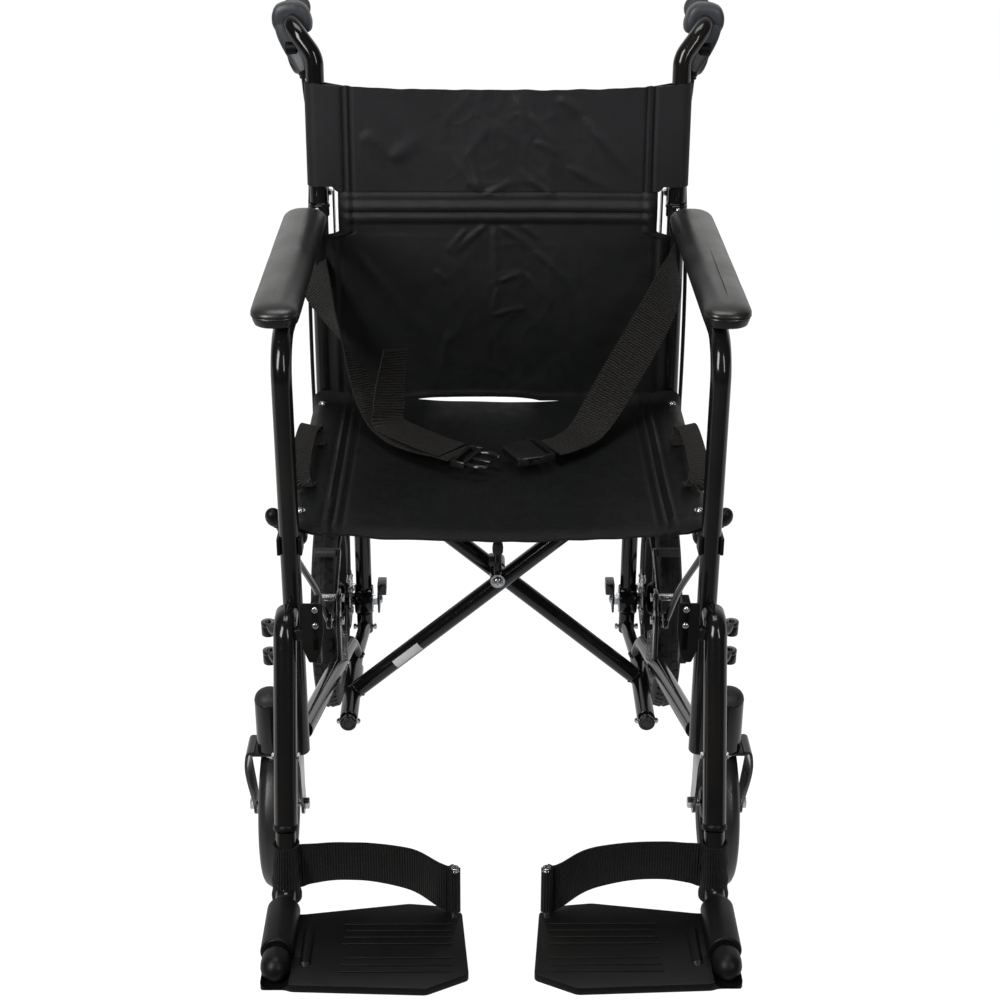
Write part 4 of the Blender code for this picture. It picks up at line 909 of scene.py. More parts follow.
# ---------------------------------------------------------------- folding back and handles
def push_cane(tag, s):
    """Upper cane with its hinge knuckle: up the back, then outward and back into the push handle."""
    low = COLLAR_TOP + 0.0016
    points = [(s * CANE_X, cane_y(low), low), (s * CANE_X, cane_y(CANE_TOP), CANE_TOP),
              (s * (GRIP_X - 0.005), GRIP_START - 0.028, GRIP_Z),
              (s * GRIP_X, GRIP_END - 0.004, GRIP_Z - 0.004)]
    pin = Vector((s * CANE_X, HINGE.y, HINGE.z))
    parts = [bar(rounded(points, [0.030, 0.030], 18), TUBE_R, 40, 0.0008),
             rod(pin - Vector((0.0050, 0, 0)), pin + Vector((0.0050, 0, 0)), 0.0065, 32),
             block((pin.x - 0.0042, pin.y - 0.0150, pin.z - 0.0030),
                   (pin.x + 0.0042, pin.y, pin.z + 0.0055), 0.001)]
    assemble("push_cane_piece_" + tag, "back_" + tag, PAINT, parts, "push_cane_" + tag)


def back_hinge(tag, s):
    """Collar on top of the lower cane with two ears for the knuckle, its screws, and the stay inboard."""
    low = HINGE_FOOT
    pin = Vector((s * CANE_X, HINGE.y, HINGE.z))
    height = COLLAR_TOP - low
    profile = [(0.0, height), (0.0124, height), (0.0136, height - 0.0010), (0.0136, height - 0.0040),
               (0.0129, height - 0.0048), (0.0129, 0.0010), (0.0122, 0.0), (TUBE_R + GAP, 0.0),
               (TUBE_R + GAP, height - 0.008), (0.0, height - 0.008)]
    lean = Vector((0, RECLINE, 1))
    parts = [lathe(eased(profile, 0.0004), (s * CANE_X, cane_y(low), low), lean, 48)]
    for side in (-1, 1):
        x = pin.x + side * 0.0083
        parts.append(rod((x - 0.0028, pin.y, pin.z), (x + 0.0028, pin.y, pin.z), 0.0065, 32))
        parts.append(block((x - 0.0026, pin.y - 0.0200, low + 0.0082),
                           (x + 0.0026, pin.y + 0.0015, pin.z - 0.0088), 0.0008))
        parts.append(block((x - 0.0024, pin.y - 0.0060, low + 0.0086), (x + 0.0024, pin.y + 0.0040, pin.z),
                           0.0008))
    assemble("back_hinge_piece_" + tag, "frame_" + tag, PAINT, parts, "back_hinge_" + tag,
             "satin_black_plastic")
    at = Vector((s * (CANE_X + 0.0015), cane_y(0.7310) - 0.0128, 0.7310))
    metal = [fastener(CROSS_HEAD, at, (0, -1, 0.1), 0.0040)]
    for side in (-1, 1):
        metal.append(fastener(CAP_HEAD, pin + Vector((side * 0.0111, 0, 0)), (side, 0, 0), 0.0042))
    assemble("back_hinge_screws_" + tag, "frame_" + tag, ZINC, metal, crease=30.0)
    stay_x = s * 0.2050
    holes = [rod((stay_x - 0.01, cane_y(z) + 0.002, z), (stay_x + 0.01, cane_y(z) + 0.002, z), 0.0019, 16)
             for z in (0.7000, 0.7075, 0.7150)]
    stay = carved(block((stay_x - 0.0011, cane_y(0.715) - 0.006, 0.660),
                        (stay_x + 0.0011, cane_y(0.715) + 0.010, 0.7540), 0.0006), holes)
    pin = rod((stay_x, cane_y(0.67), 0.6690), (s * (CANE_X - 0.0105), cane_y(0.67), 0.6690), 0.0028, 20)
    assemble("back_stay_" + tag, "frame_" + tag, PAINT, [stay])
    assemble("back_stay_pins_" + tag, "frame_" + tag, DULL_STEEL, [pin])


def handle(tag, s):
    """Rubber grip, the brake housing in front of it, and the housing's arm down to the cable outlet."""
    axis = Vector((s * 0.005, GRIP_END - GRIP_START + 0.024, -0.004)).normalized()
    end = Vector((s * GRIP_X, GRIP_END - 0.004, GRIP_Z - 0.004)) + axis * 0.005
    length = GRIP_END - GRIP_START
    inner = TUBE_R + GAP
    outer = [(0.0, 0.0068), (0.0090, 0.0066), (0.0150, 0.0040), (0.0168, 0.0), (0.0172, -0.008)]
    for i in range(44):
        share = i / 43
        wave = 0.0008 * math.cos(math.tau * share * 4.5) - 0.0011 * math.sin(math.pi * share)
        fine = 0.00035 if i % 2 else -0.00010
        outer.append((0.0160 + wave + fine, -0.012 - share * (length - 0.016)))
    outer += [(0.0175, 0.0015 - length), (0.0175, -length), (inner, -length), (inner, -0.0010),
              (0.0, -0.0010)]
    grip = lathe(outer, end, axis, 56)
    assemble("grip_" + tag, "back_" + tag, RUBBER, [grip], "handle_grip_" + tag)

    front = Vector((s * GRIP_X, GRIP_START + 0.0060, GRIP_Z - 0.0025))
    outline = [(0.0205, 0.0100), (0.0165, 0.0195), (0.0043, 0.0245), (-0.0140, 0.0245), (-0.0235, 0.0176),
               (-0.0290, 0.0003), (-0.0275, -0.0110), (-0.0190, -0.0125), (0.0060, -0.0160),
               (0.0160, -0.0110), (0.0205, -0.0020)]
    shape = corners_cut([(s * a, b) for a, b in outline], 0.006, 4)
    if s < 0:
        shape = shape[::-1]
    rows = []
    for depth, grow in ((-0.0150, 0.62), (-0.0146, 0.80), (-0.0128, 0.92), (-0.0090, 0.985), (-0.0030, 1.0),
                        (0.0060, 1.0), (0.0110, 0.97), (0.0150, 0.86), (0.0165, 0.70)):
        rows.append([front + Vector((a * grow, depth, b * grow)) for a, b in shape])
    shell = surface(rows, wrap=True, caps=True)
    outlet = Vector((s * 0.2395, 0.2900, 0.8965))
    spine = flowing([Vector((s * 0.2600, 0.3080, 0.9500)), Vector((s * 0.2570, 0.3050, 0.9360)),
                     Vector((s * 0.2500, 0.3010, 0.9190)), Vector((s * 0.2425, 0.2950, 0.9050)), outlet], 5)
    arm = []
    for i, p in enumerate(spine):
        share = i / (len(spine) - 1)
        wide, deep = 0.0140 - 0.0085 * share ** 2, 0.0105 - 0.0040 * share
        way = (spine[min(i + 1, len(spine) - 1)] - spine[max(i - 1, 0)]).normalized()
        rear = Vector((0, 1, 0))
        arm.append([p + q for q in squircle(way.cross(rear).normalized(), rear, wide, deep, 4)])
    assemble("brake_housing_" + tag, "back_" + tag, GREY_PLASTIC,
             [shell, surface(arm, wrap=True, caps=True)])
    under = outlet - Vector((0, 0, 0.0010))
    nose = lathe(eased([(0.0, 0.0), (0.0058, 0.0), (0.0058, -0.0055), (0.0046, -0.0062), (0.0046, -0.0095),
                        (0.0026, -0.0105), (0.0, -0.0105)], 0.0004), under, (0.02 * s, 0, 1), 32)
    assemble("cable_outlet_" + tag, "back_" + tag, CAP_PLASTIC, [nose])


def brake_lever(tag, s):
    """Hand brake lever with its pivot barrel, curved back under the grip."""
    at = Vector((s * LEVER.x, LEVER.y, LEVER.z))
    spine = flowing([at, at + Vector((-s * 0.005, 0.006, -0.018)), at + Vector((-s * 0.008, 0.030, -0.034)),
                     at + Vector((-s * 0.005, 0.072, -0.040)), at + Vector((s * 0.002, 0.112, -0.046))], 8)
    rows = []
    across = Vector((1, 0, 0))
    for i, (p, (ahead, _, _)) in enumerate(zip(spine, frames(spine))):
        share = i / (len(spine) - 1)
        wide = 0.0075 + 0.0022 * math.sin(math.pi * min(1, share * 1.4))
        thick = 0.0040 - 0.0006 * share
        rows.append([p + q for q in squircle(across, ahead.cross(across).normalized(), wide, thick, 3)])
    barrel = rod(at - Vector((0.007, 0, 0)), at + Vector((0.007, 0, 0)), 0.0085, 40, 0.001)
    assemble("brake_lever_piece_" + tag, "brake_lever_" + tag, PLASTIC,
             [surface(rows, wrap=True, caps=True), barrel], "brake_lever_" + tag)


def arm_pad(tag, s):
    """Armrest: a crowned vinyl pad with a bead along its seam, over a glossy moulded tray."""
    centre_x = s * PAD_X
    half = (pad_high.x - pad_low.x) / 2
    cap = half + 0.002
    seam = pad_low.z + 0.0115
    high = pad_high.z - seam

    def ring(inset, z, lift=0.0):
        """Rounded outline of the pad pulled in by an inset, at height z."""
        made = []
        count = 28
        for middle_y, side in ((pad_high.y - cap, 1), (pad_low.y + cap, -1)):
            for i in range(count + 1):
                a = math.pi * i / count
                across, along = math.cos(a), math.sin(a)
                x = math.copysign(abs(across) ** 0.78, across) * (half - inset) * side
                y = abs(along) ** 0.78 * (cap - inset) * side
                made.append(Vector((centre_x + x, middle_y + y, z)))
        dense = []
        for a, b in zip(made, made[1:] + made[:1]):
            steps = max(1, round((b - a).length / 0.012))
            dense += [a.lerp(b, k / steps) for k in range(steps)]
        if lift:
            dense = [p + Vector((0, 0, lift * noise.noise(p * 26.0))) for p in dense]
        return dense

    top = [ring(0.0016, seam + 0.0004), ring(0.0002, seam + 0.0014)]
    for i in range(1, 13):
        a = math.radians(90 * i / 12.6)
        inset = half * (1 - math.cos(a) ** 0.80)
        level = ring(inset, seam + 0.0014 + (high - 0.0014) * math.sin(a) ** 0.92, 0.0007)
        fall = 0.0042 * math.sin(a)
        top.append([p - Vector((0, 0, fall * max(0.0, 1 - (p.y - pad_low.y) / 0.080) ** 2)) for p in level])
    pad = assemble("arm_pad_top_" + tag, "frame_" + tag, VINYL, [surface(top, wrap=True, caps=True)],
                   "arm_pad_" + tag, crease=50.0)
    bead_path = ring(0.0010, seam)
    bead = [[p + Vector((0, 0, 0.0009 * math.sin(math.tau * k / 8)))
             + (p - Vector((centre_x, min(max(p.y, pad_low.y + cap), pad_high.y - cap), p.z))).normalized()
             * 0.0011 * math.cos(math.tau * k / 8) for k in range(8)] for p in bead_path]
    assemble("arm_pad_bead_" + tag, "frame_" + tag, VINYL, [surface(bead + [bead[0]], wrap=True)])
    tray = [ring(0.0140, pad_low.z), ring(0.0060, pad_low.z + 0.0003), ring(0.0034, pad_low.z + 0.0018),
            ring(0.0018, pad_low.z + 0.0060), ring(0.0010, pad_low.z + 0.0098), ring(0.0018, seam - 0.0006)]
    assemble("arm_pad_tray_" + tag, "frame_" + tag, CAP_PLASTIC, [surface(tray, wrap=True, caps=True)],
             slot="black_vinyl")


# ---------------------------------------------------------------- casters
def caster(tag, s):
    """Stem housing with its domed cap, the bent fork, the wheel and its tyre."""
    x = s * STEM.x
    low, top = housing_low.z, housing_high.z
    shell = lathe(eased([(0.0068, 0.0), (0.0068, top - low - 0.020), (0.0, top - low - 0.020),
                         (0.0, top - low - 0.014),
                         (0.0168, top - low - 0.014), (0.0171, top - low - 0.016), (0.0171, 0.0010),
                         (0.0160, 0.0), (0.0068, 0.0)][::-1], 0.0005), (x, STEM.y, low), (0, 0, 1), 56)
    web = block((s * 0.2400, STEM.y - 0.0080, 0.216), (s * 0.2520, STEM.y + 0.0040, 0.268), 0.0015)
    assemble("caster_housing_piece_" + tag, "frame_" + tag, PAINT, [shell, web], "caster_housing_" + tag,
             "satin_black_plastic")
    height = top - low
    cap = [(0.0, height)]
    for i in range(1, 9):
        a = math.radians(90 * i / 8)
        cap.append((0.0168 * math.sin(a) ** 0.85, height - 0.0115 + 0.0115 * math.cos(a) ** 1.1))
    cap += [(0.0172, height - 0.0125), (0.0172, height - 0.0136), (0.0, height - 0.0136)]
    assemble("caster_cap_" + tag, "frame_" + tag, RUBBER, [lathe(cap, (x, STEM.y, low), (0, 0, 1), 56)],
             slot="satin_black_plastic")

    axle_y = CASTER_HUB.y - STEM.y
    crown_z = 0.2030
    legs = []
    for side in (-1, 1):
        rows = []
        for z, y0, y1, out in ((crown_z + 0.0024, -0.0125, 0.0245, 0.0200),
                               (crown_z + 0.0022, -0.0130, 0.0250, 0.0252),
                               (crown_z + 0.0004, -0.0130, 0.0252, 0.0274),
                               (crown_z - 0.0040, -0.0126, 0.0258, 0.0288),
                               (0.1850, -0.0100, 0.0300, 0.0305), (0.1700, -0.0060, 0.0345, 0.0306),
                               (0.1500, 0.0020, 0.0395, 0.0298), (0.1250, 0.0150, 0.0470, 0.0288),
                               (0.1060, axle_y - 0.0140, axle_y + 0.0135, 0.0284),
                               (0.0960, axle_y - 0.0125, axle_y + 0.0125, 0.0284),
                               (0.0900, axle_y - 0.0080, axle_y + 0.0080, 0.0284),
                               (0.0882, axle_y - 0.0040, axle_y + 0.0040, 0.0284)):
            rows.append([Vector((x + side * out, STEM.y + y0 + (y1 - y0) * k / 8, z)) for k in range(9)])
        dense = [flowing([row[k] for row in rows], 4) for k in range(9)]
        legs.append(skin([list(r) for r in zip(*dense)], 0.0034))
    crown = plate(corners_cut([(-0.0255, -0.0130), (0.0255, -0.0130), (0.0255, 0.0250), (-0.0255, 0.0250)],
                              0.005), 0.0042, Matrix.Translation((x, STEM.y, crown_z)))
    stem = rod((x, STEM.y, 0.190), (x, STEM.y, 0.262), 0.0060, 32)
    assemble("caster_fork_piece_" + tag, "caster_" + tag, PAINT, [crown, stem] + legs, "caster_fork_" + tag)
    hub = Vector((x, CASTER_HUB.y, CASTER_HUB.z))
    out = Vector((1, 0, 0))
    metal = through_bolt(hub, out, 0.0335, 0.0040, 0.0302, 0.0072, 32)
    metal += [fastener(HEX_HEAD, (x, STEM.y, crown_z - 0.0022), (0, 0, -1), 0.0085),
              washer((x, STEM.y, crown_z - 0.0032), (0, 0, 1), 0.0110, 0.0011, 0.006)]
    assemble("caster_bolts_" + tag, "caster_" + tag, ZINC, metal, crease=25.0)

    profile = [(0.0043, 0.0200), (0.0150, 0.0200), (0.0185, 0.0185), (0.0215, 0.0060), (0.0300, 0.0050),
               (0.0690, 0.0050), (0.0735, 0.0110), (0.0756, 0.0120), (0.0762, 0.0), (0.0756, -0.0120),
               (0.0735, -0.0110), (0.0690, -0.0050), (0.0300, -0.0050), (0.0215, -0.0060),
               (0.0185, -0.0185), (0.0150, -0.0200), (0.0043, -0.0200)]
    ribs = []
    for i in range(CASTER_RIBS):
        turn = Matrix.Rotation(math.tau * i / CASTER_RIBS, 4, "X")
        rib = block((-0.0095, -0.0014, 0.0190), (0.0095, 0.0014, 0.0735), 0.0010)
        ribs.append(moved(rib, Matrix.Translation(hub) @ turn))
    assemble("caster_wheel_piece_" + tag, "caster_wheel_" + tag, PLASTIC,
             [lathe(eased(profile, 0.0010), hub, (1, 0, 0), 72)] + ribs, "caster_wheel_" + tag)
    half, outer = (small_high.x - small_low.x) / 2, (small_high.z - small_low.z) / 2
    tread = [(0.0765, 0.0118), (0.0785, 0.0138), (0.0850, half - 0.0003), (0.0905, half - 0.0006),
             (0.0955, half - 0.0035), (0.0982, half - 0.0075), (outer - 0.0003, 0.0055), (outer, 0.0)]
    tread += [(r, -h) for r, h in tread[:-1]][::-1]
    assemble("caster_tyre_piece_" + tag, "caster_wheel_" + tag, SMALL_TYRE,
             [lathe(eased(tread, 0.0016), hub, (1, 0, 0), 96)], "caster_tyre_" + tag, crease=50.0)


# ---------------------------------------------------------------- rear wheels and brakes
def rear_wheel(tag, s):
    """Rear wheel with six moulded spokes, its tyre with two rows of tread blocks, its axle and spacer."""
    hub = Vector((s * REAR_HUB.x, REAR_HUB.y, REAR_HUB.z))
    out = Vector((1, 0, 0))
    centre = lathe(eased([(0.0066, 0.0190), (0.0130, 0.0190), (0.0190, 0.0175), (0.0235, 0.0120),
                          (0.0240, 0.0), (0.0235, -0.0120), (0.0190, -0.0175), (0.0130, -0.0190),
                          (0.0066, -0.0190)], 0.0012), hub, out)
    rim = lathe(eased([(0.1120, 0.0128), (0.1180, 0.0132), (0.1214, 0.0128), (0.1202, 0.0080),
                       (0.1190, 0.0), (0.1202, -0.0080), (0.1214, -0.0128), (0.1180, -0.0132),
                       (0.1120, -0.0128), (0.1104, -0.0060), (0.1100, 0.0), (0.1104, 0.0060)], 0.0008), hub,
                out, 120)
    spokes = []
    for i in range(SPOKES):
        turn = math.radians(360 / SPOKES * i + 30)
        way = Vector((0, math.cos(turn), math.sin(turn)))
        side = out.cross(way)
        rows = []
        for k in range(15):
            share = k / 14
            wide = 0.0092 - 0.0050 * math.sin(math.pi * share) + 0.0030 * share ** 6
            deep = 0.0105 - 0.0035 * math.sin(math.pi * share)
            p = hub + way * (0.0185 + (0.1130 - 0.0185) * share)
            rows.append([p + q for q in squircle(side, out, wide, deep, 3.4)])
        spokes.append(surface(rows, wrap=True, caps=True))
    ring = lathe(eased([(0.0520, 0.0062), (0.0560, 0.0062), (0.0560, -0.0062), (0.0520, -0.0062)], 0.0008),
                 hub, out, 96)
    assemble("rear_wheel_piece_" + tag, "rear_wheel_" + tag, PLASTIC, [centre, rim, ring] + spokes,
             "rear_wheel_" + tag)

    half, outer = (tyre_high.x - tyre_low.x) / 2, (tyre_high.z - tyre_low.z) / 2
    carcass = [(0.1194, 0.0), (0.1206, 0.0082), (0.1218, 0.0130), (0.1260, half - 0.0012), (0.1320, half),
               (0.1400, half - 0.0010), (0.1460, half - 0.0036), (0.1496, half - 0.0080), (0.1508, 0.0040)]
    carcass += [(r, -h) for r, h in carcass[1:]][::-1]
    parts = [lathe(eased(carcass, 0.0014), hub, out, 128)]
    for i in range(TREAD_BLOCKS):
        for side, (h0, h1) in ((1, (0.0022, 0.0128)), (-1, (-0.0128, -0.0022))):
            a0 = math.tau * (i + (0.5 if side < 0 else 0.0)) / TREAD_BLOCKS
            a1 = a0 + math.tau * 0.66 / TREAD_BLOCKS
            rows = []
            for r in (outer - 0.0040, outer - 0.0004, outer):
                shrink = 0.0004 if r == outer else 0.0
                corners = []
                for h, a in ((h0 + shrink, a0), (h1 - shrink, a0), (h1 - shrink, a1), (h0 + shrink, a1)):
                    fall = 0.0030 * (abs(h) / 0.0128) ** 2.4
                    corners.append(hub + Vector((h, (r - fall) * math.cos(a), (r - fall) * math.sin(a))))
                rows.append(corners)
            parts.append(surface(rows, wrap=True, caps=True))
    assemble("rear_tyre_piece_" + tag, "rear_wheel_" + tag, TYRE, parts, "rear_tyre_" + tag)

    way = Vector((s, 0, 0))
    metal = [rod(hub - way * 0.0680, hub + way * 0.0255, 0.0060, 36),
             fastener(HEX_HEAD, hub + way * 0.0196, way, 0.0098),
             fastener(HEX_HEAD, hub - way * 0.0590, -way, 0.0092),
             washer(hub - way * 0.0580, -way, 0.0118, 0.0012, 0.006),
             lathe(eased([(0.0, 0.0072), (0.0056, 0.0058), (0.0070, 0.0016), (0.0070, 0.0), (0.0, 0.0)],
                         0.0006), hub - way * 0.0655, -way, 32)]
    assemble("rear_axle_piece_" + tag, "frame_" + tag, ZINC, metal, "rear_axle_" + tag, crease=25.0)
    spacer = lathe(eased([(0.0062, 0.0), (0.0088, 0.0), (0.0088, 0.0138), (0.0062, 0.0138)], 0.0004),
                   hub - way * 0.0332, way, 40)
    assemble("axle_spacer_" + tag, "frame_" + tag, CAP_PLASTIC, [spacer])


def rear_brake(tag, s):
    """Band brake behind the wheel: backing plate with pressed ribs, cam arm and cable anchor; the adjuster
    comes with the cable.
    """
    x = s * CAM.x
    hub = Vector((x, REAR_HUB.y, REAR_HUB.z))
    way = Vector((s, 0, 0))
    dish = lathe(eased([(0.0090, 0.0013), (0.0300, 0.0013), (0.0330, 0.0004), (0.0400, 0.0004),
                        (0.0420, 0.0012), (0.0422, -0.0008), (0.0400, -0.0014), (0.0330, -0.0014),
                        (0.0300, -0.0008), (0.0090, -0.0008)], 0.0005), hub, way, 72)
    anchor_at = Vector((x, REAR_HUB.y - 0.036, REAR_HUB.z + 0.036))
    parts = [dish, rod(anchor_at - way * 0.0012, anchor_at + way * 0.0012, 0.0120, 40)]
    assemble("brake_plate_piece_" + tag, "frame_" + tag, PLASTIC, parts, "brake_plate_" + tag)
    metal = [rod(anchor_at - way * 0.0062, anchor_at + way * 0.0018, 0.0058, 32, 0.0005),
             fastener(HEX_HEAD, anchor_at - way * 0.0062, -way, 0.0048)]
    for i in range(4):
        a = math.radians(90 * i + 40)
        spot = hub + Vector((0, 0.0350 * math.cos(a), 0.0350 * math.sin(a)))
        metal.append(fastener(CROSS_HEAD, spot - way * 0.0014, -way, 0.0034))
    assemble("brake_anchor_" + tag, "frame_" + tag, ZINC, metal, crease=28.0)
    cam = Vector((x - s * 0.0042, CAM.y, CAM.z))
    tip = Vector((cam.x, REAR_HUB.y - 0.050, REAR_HUB.z + 0.008))
    reach = tip - cam
    lie = placed(reach.normalized(), way.cross(reach.normalized()), way, cam)
    lever = [plate(arm_outline(reach.length, 0.0072, 0.0040, 20), 0.0030, lie),
             fastener(HEX_HEAD, cam - way * 0.0015, -way, 0.0052),
             rod(tip - way * 0.0045, tip + way * 0.0018, 0.0034, 24),
             washer(tip - way * 0.0024, -way, 0.0052)]
    assemble("brake_arm_piece_" + tag, "brake_arm_" + tag, ZINC, lever, "brake_arm_" + tag, crease=25.0)
    return tip


def brake_cable(tag, s, tip):
    """Brake cable in its sheath from the lever to the adjuster, and the bare wire on to the cam arm."""
    end = Vector((s * (CAM.x - 0.0035), REAR_HUB.y - 0.040, REAR_HUB.z + 0.056))
    route = [(s * 0.2395, 0.2905, 0.8868), (s * 0.2385, 0.2925, 0.870),
             (s * (CANE_X + 0.0110), cane_y(0.83) + 0.0175, 0.830),
             (s * (CANE_X + 0.0115), cane_y(0.76) + 0.018, 0.760),
             (s * (CANE_X + 0.0150), cane_y(0.70) + 0.016, 0.690),
             (s * (CANE_X + 0.0165), cane_y(0.60) + 0.010, 0.600),
             (s * (CANE_X + 0.0160), cane_y(0.48) + 0.010, 0.480),
             (s * (CANE_X + 0.012), cane_y(0.40) + 0.006, 0.395),
             (s * (POST_X + 0.020), REAR_HUB.y - 0.030, 0.330),
             (s * (POST_X + 0.0165), REAR_HUB.y - 0.040, 0.280), end]
    sheath = assemble("brake_cable_piece_" + tag, None, CAP_PLASTIC,
                      [bar(flowing(route, 10), 0.0025, 16, 0.0003)], "brake_cable_" + tag, "black_rubber")
    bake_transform(sheath)
    down = Vector((0, 0, -1))
    adjuster = [lathe(eased([(0.0, 0.0), (0.0034, 0.0), (0.0034, 0.006), (0.0046, 0.0065), (0.0046, 0.0125),
                             (0.0034, 0.013), (0.0034, 0.018), (0.0, 0.018)], 0.0003),
                      end + Vector((0, 0, 0.004)), down, 24)]
    assemble("cable_adjuster_" + tag, "frame_" + tag, ZINC, adjuster, crease=25.0)
    wire = bar(flowing([end - Vector((0, 0, 0.006)), end.lerp(tip, 0.5) + Vector((0, -0.002, 0)), tip], 8),
               0.0008, 10, 0.0001)
    ferrule = rod(tip + Vector((0, 0, -0.006)), tip + Vector((0, 0, 0.004)), 0.0019, 16)
    assemble("brake_wire_" + tag, "frame_" + tag, WIRE, [wire, ferrule])


def wheel_lock(tag, s):
    """Wheel lock: hand lever with a ball knob, roller arm, return spring and its bracket hardware."""
    pivot = Vector((s * LOCK.x, LOCK.y, LOCK.z))
    way = Vector((s, 0, 0))
    inner, outer = s * 0.2065, s * 0.2125
    reach, angle = 0.1660, math.radians(130)
    shoe = Vector((0, REAR_HUB.y + reach * math.cos(angle), REAR_HUB.z + reach * math.sin(angle)))
    knob = Vector((s * 0.2610, -0.052, 0.4520))
    spine = flowing([pivot + way * 0.0030, pivot + Vector((s * 0.014, -0.030, 0.060)),
                     pivot + Vector((s * 0.030, -0.095, 0.140)), knob], 12)
    hub = lathe(eased([(0.0, 0.0060), (0.0100, 0.0060), (0.0110, 0.0050), (0.0110, 0.0), (0.0, 0.0)],
                      0.0008), pivot - way * 0.0008, way, 48)
    assemble("wheel_lock_lever_piece_" + tag, "wheel_lock_" + tag, PAINT, [hub, bar(spine, 0.0040, 24)],
             "wheel_lock_lever_" + tag, "satin_black_plastic")
    along = (knob - spine[-4]).normalized()
    profile = [(0.0, 0.0140)]
    for i in range(1, 12):
        a = math.radians(180 * i / 12.5)
        profile.append((0.0098 * math.sin(a) ** 0.9, 0.0140 * math.cos(a)))
    profile += [(0.0060, -0.0146), (0.0, -0.0146)]
    assemble("wheel_lock_knob_" + tag, "wheel_lock_" + tag, PLASTIC, [lathe(profile, knob, along, 48)])
    mid = (inner + outer) / 2
    base = Vector((mid, LOCK.y, LOCK.z))
    swing = Vector((mid, shoe.y, shoe.z)) - base
    forward = swing.normalized()
    lie = placed(forward, way.cross(forward), way, base)
    hole = rod(base + forward * 0.012 - way * 0.01, base + forward * 0.012 + way * 0.01, 0.0026, 20)
    arm = carved(plate(arm_outline(swing.length, 0.0092, 0.0056, 15), 0.0042, lie), [hole])
    roller = lathe(eased([(0.0, 0.0), (0.0050, 0.0), (0.0064, 0.0010), (0.0064, 0.0290), (0.0050, 0.0300),
                          (0.0, 0.0300)], 0.0008), (outer, shoe.y, shoe.z), way, 32)
    assemble("wheel_lock_shoe_piece_" + tag, "wheel_lock_shoe_" + tag, PAINT, [arm],
             "wheel_lock_shoe_" + tag, "zinc_steel", 28.0)
    assemble("wheel_lock_roller_" + tag, "wheel_lock_shoe_" + tag, RUBBER, [roller], slot="zinc_steel",
             crease=28.0)
    side = s * LOCK_PLATE_IN
    bolts = []
    for y, z in ((LOCK.y, LOCK.z), (LOCK.y - 0.0085, 0.172), (LOCK.y + 0.0085, 0.172)):
        bolts.append(fastener(HEX_HEAD, (side, y, z), -way, 0.0058))
        bolts.append(washer((side, y, z), -way, 0.0068))
    stop = Vector((s * LOCK_PLATE_OUT, LOCK.y + 0.0100, LOCK.z + 0.0280))
    bolts.append(rod(stop, stop + way * 0.0230, 0.0045, 32, 0.0008))
    bolts.append(fastener(HEX_HEAD, stop - way * 0.0050, -way, 0.0058))
    assemble("wheel_lock_bolts_" + tag, "frame_" + tag, ZINC, bolts, crease=25.0)
    ear = block((side, stop.y - 0.0090, LOCK.z + 0.0100),
                (s * LOCK_PLATE_OUT, stop.y + 0.0090, stop.z + 0.0090), 0.0016)
    assemble("wheel_lock_ear_" + tag, "frame_" + tag, PAINT, [ear])
    coil = []
    start = Vector((s * 0.1965, LOCK.y - 0.008, LOCK.z - 0.012))
    for i in range(0, 150):
        turn = math.tau * i / 12
        coil.append(start + Vector((0.0032 * math.cos(turn), 0.0032 * math.sin(turn) + 0.004 * i / 150,
                                    -0.046 * i / 150)))
    assemble("wheel_lock_spring_" + tag, "frame_" + tag, DULL_STEEL, [bar(coil, 0.0006, 8, 0.0001)])


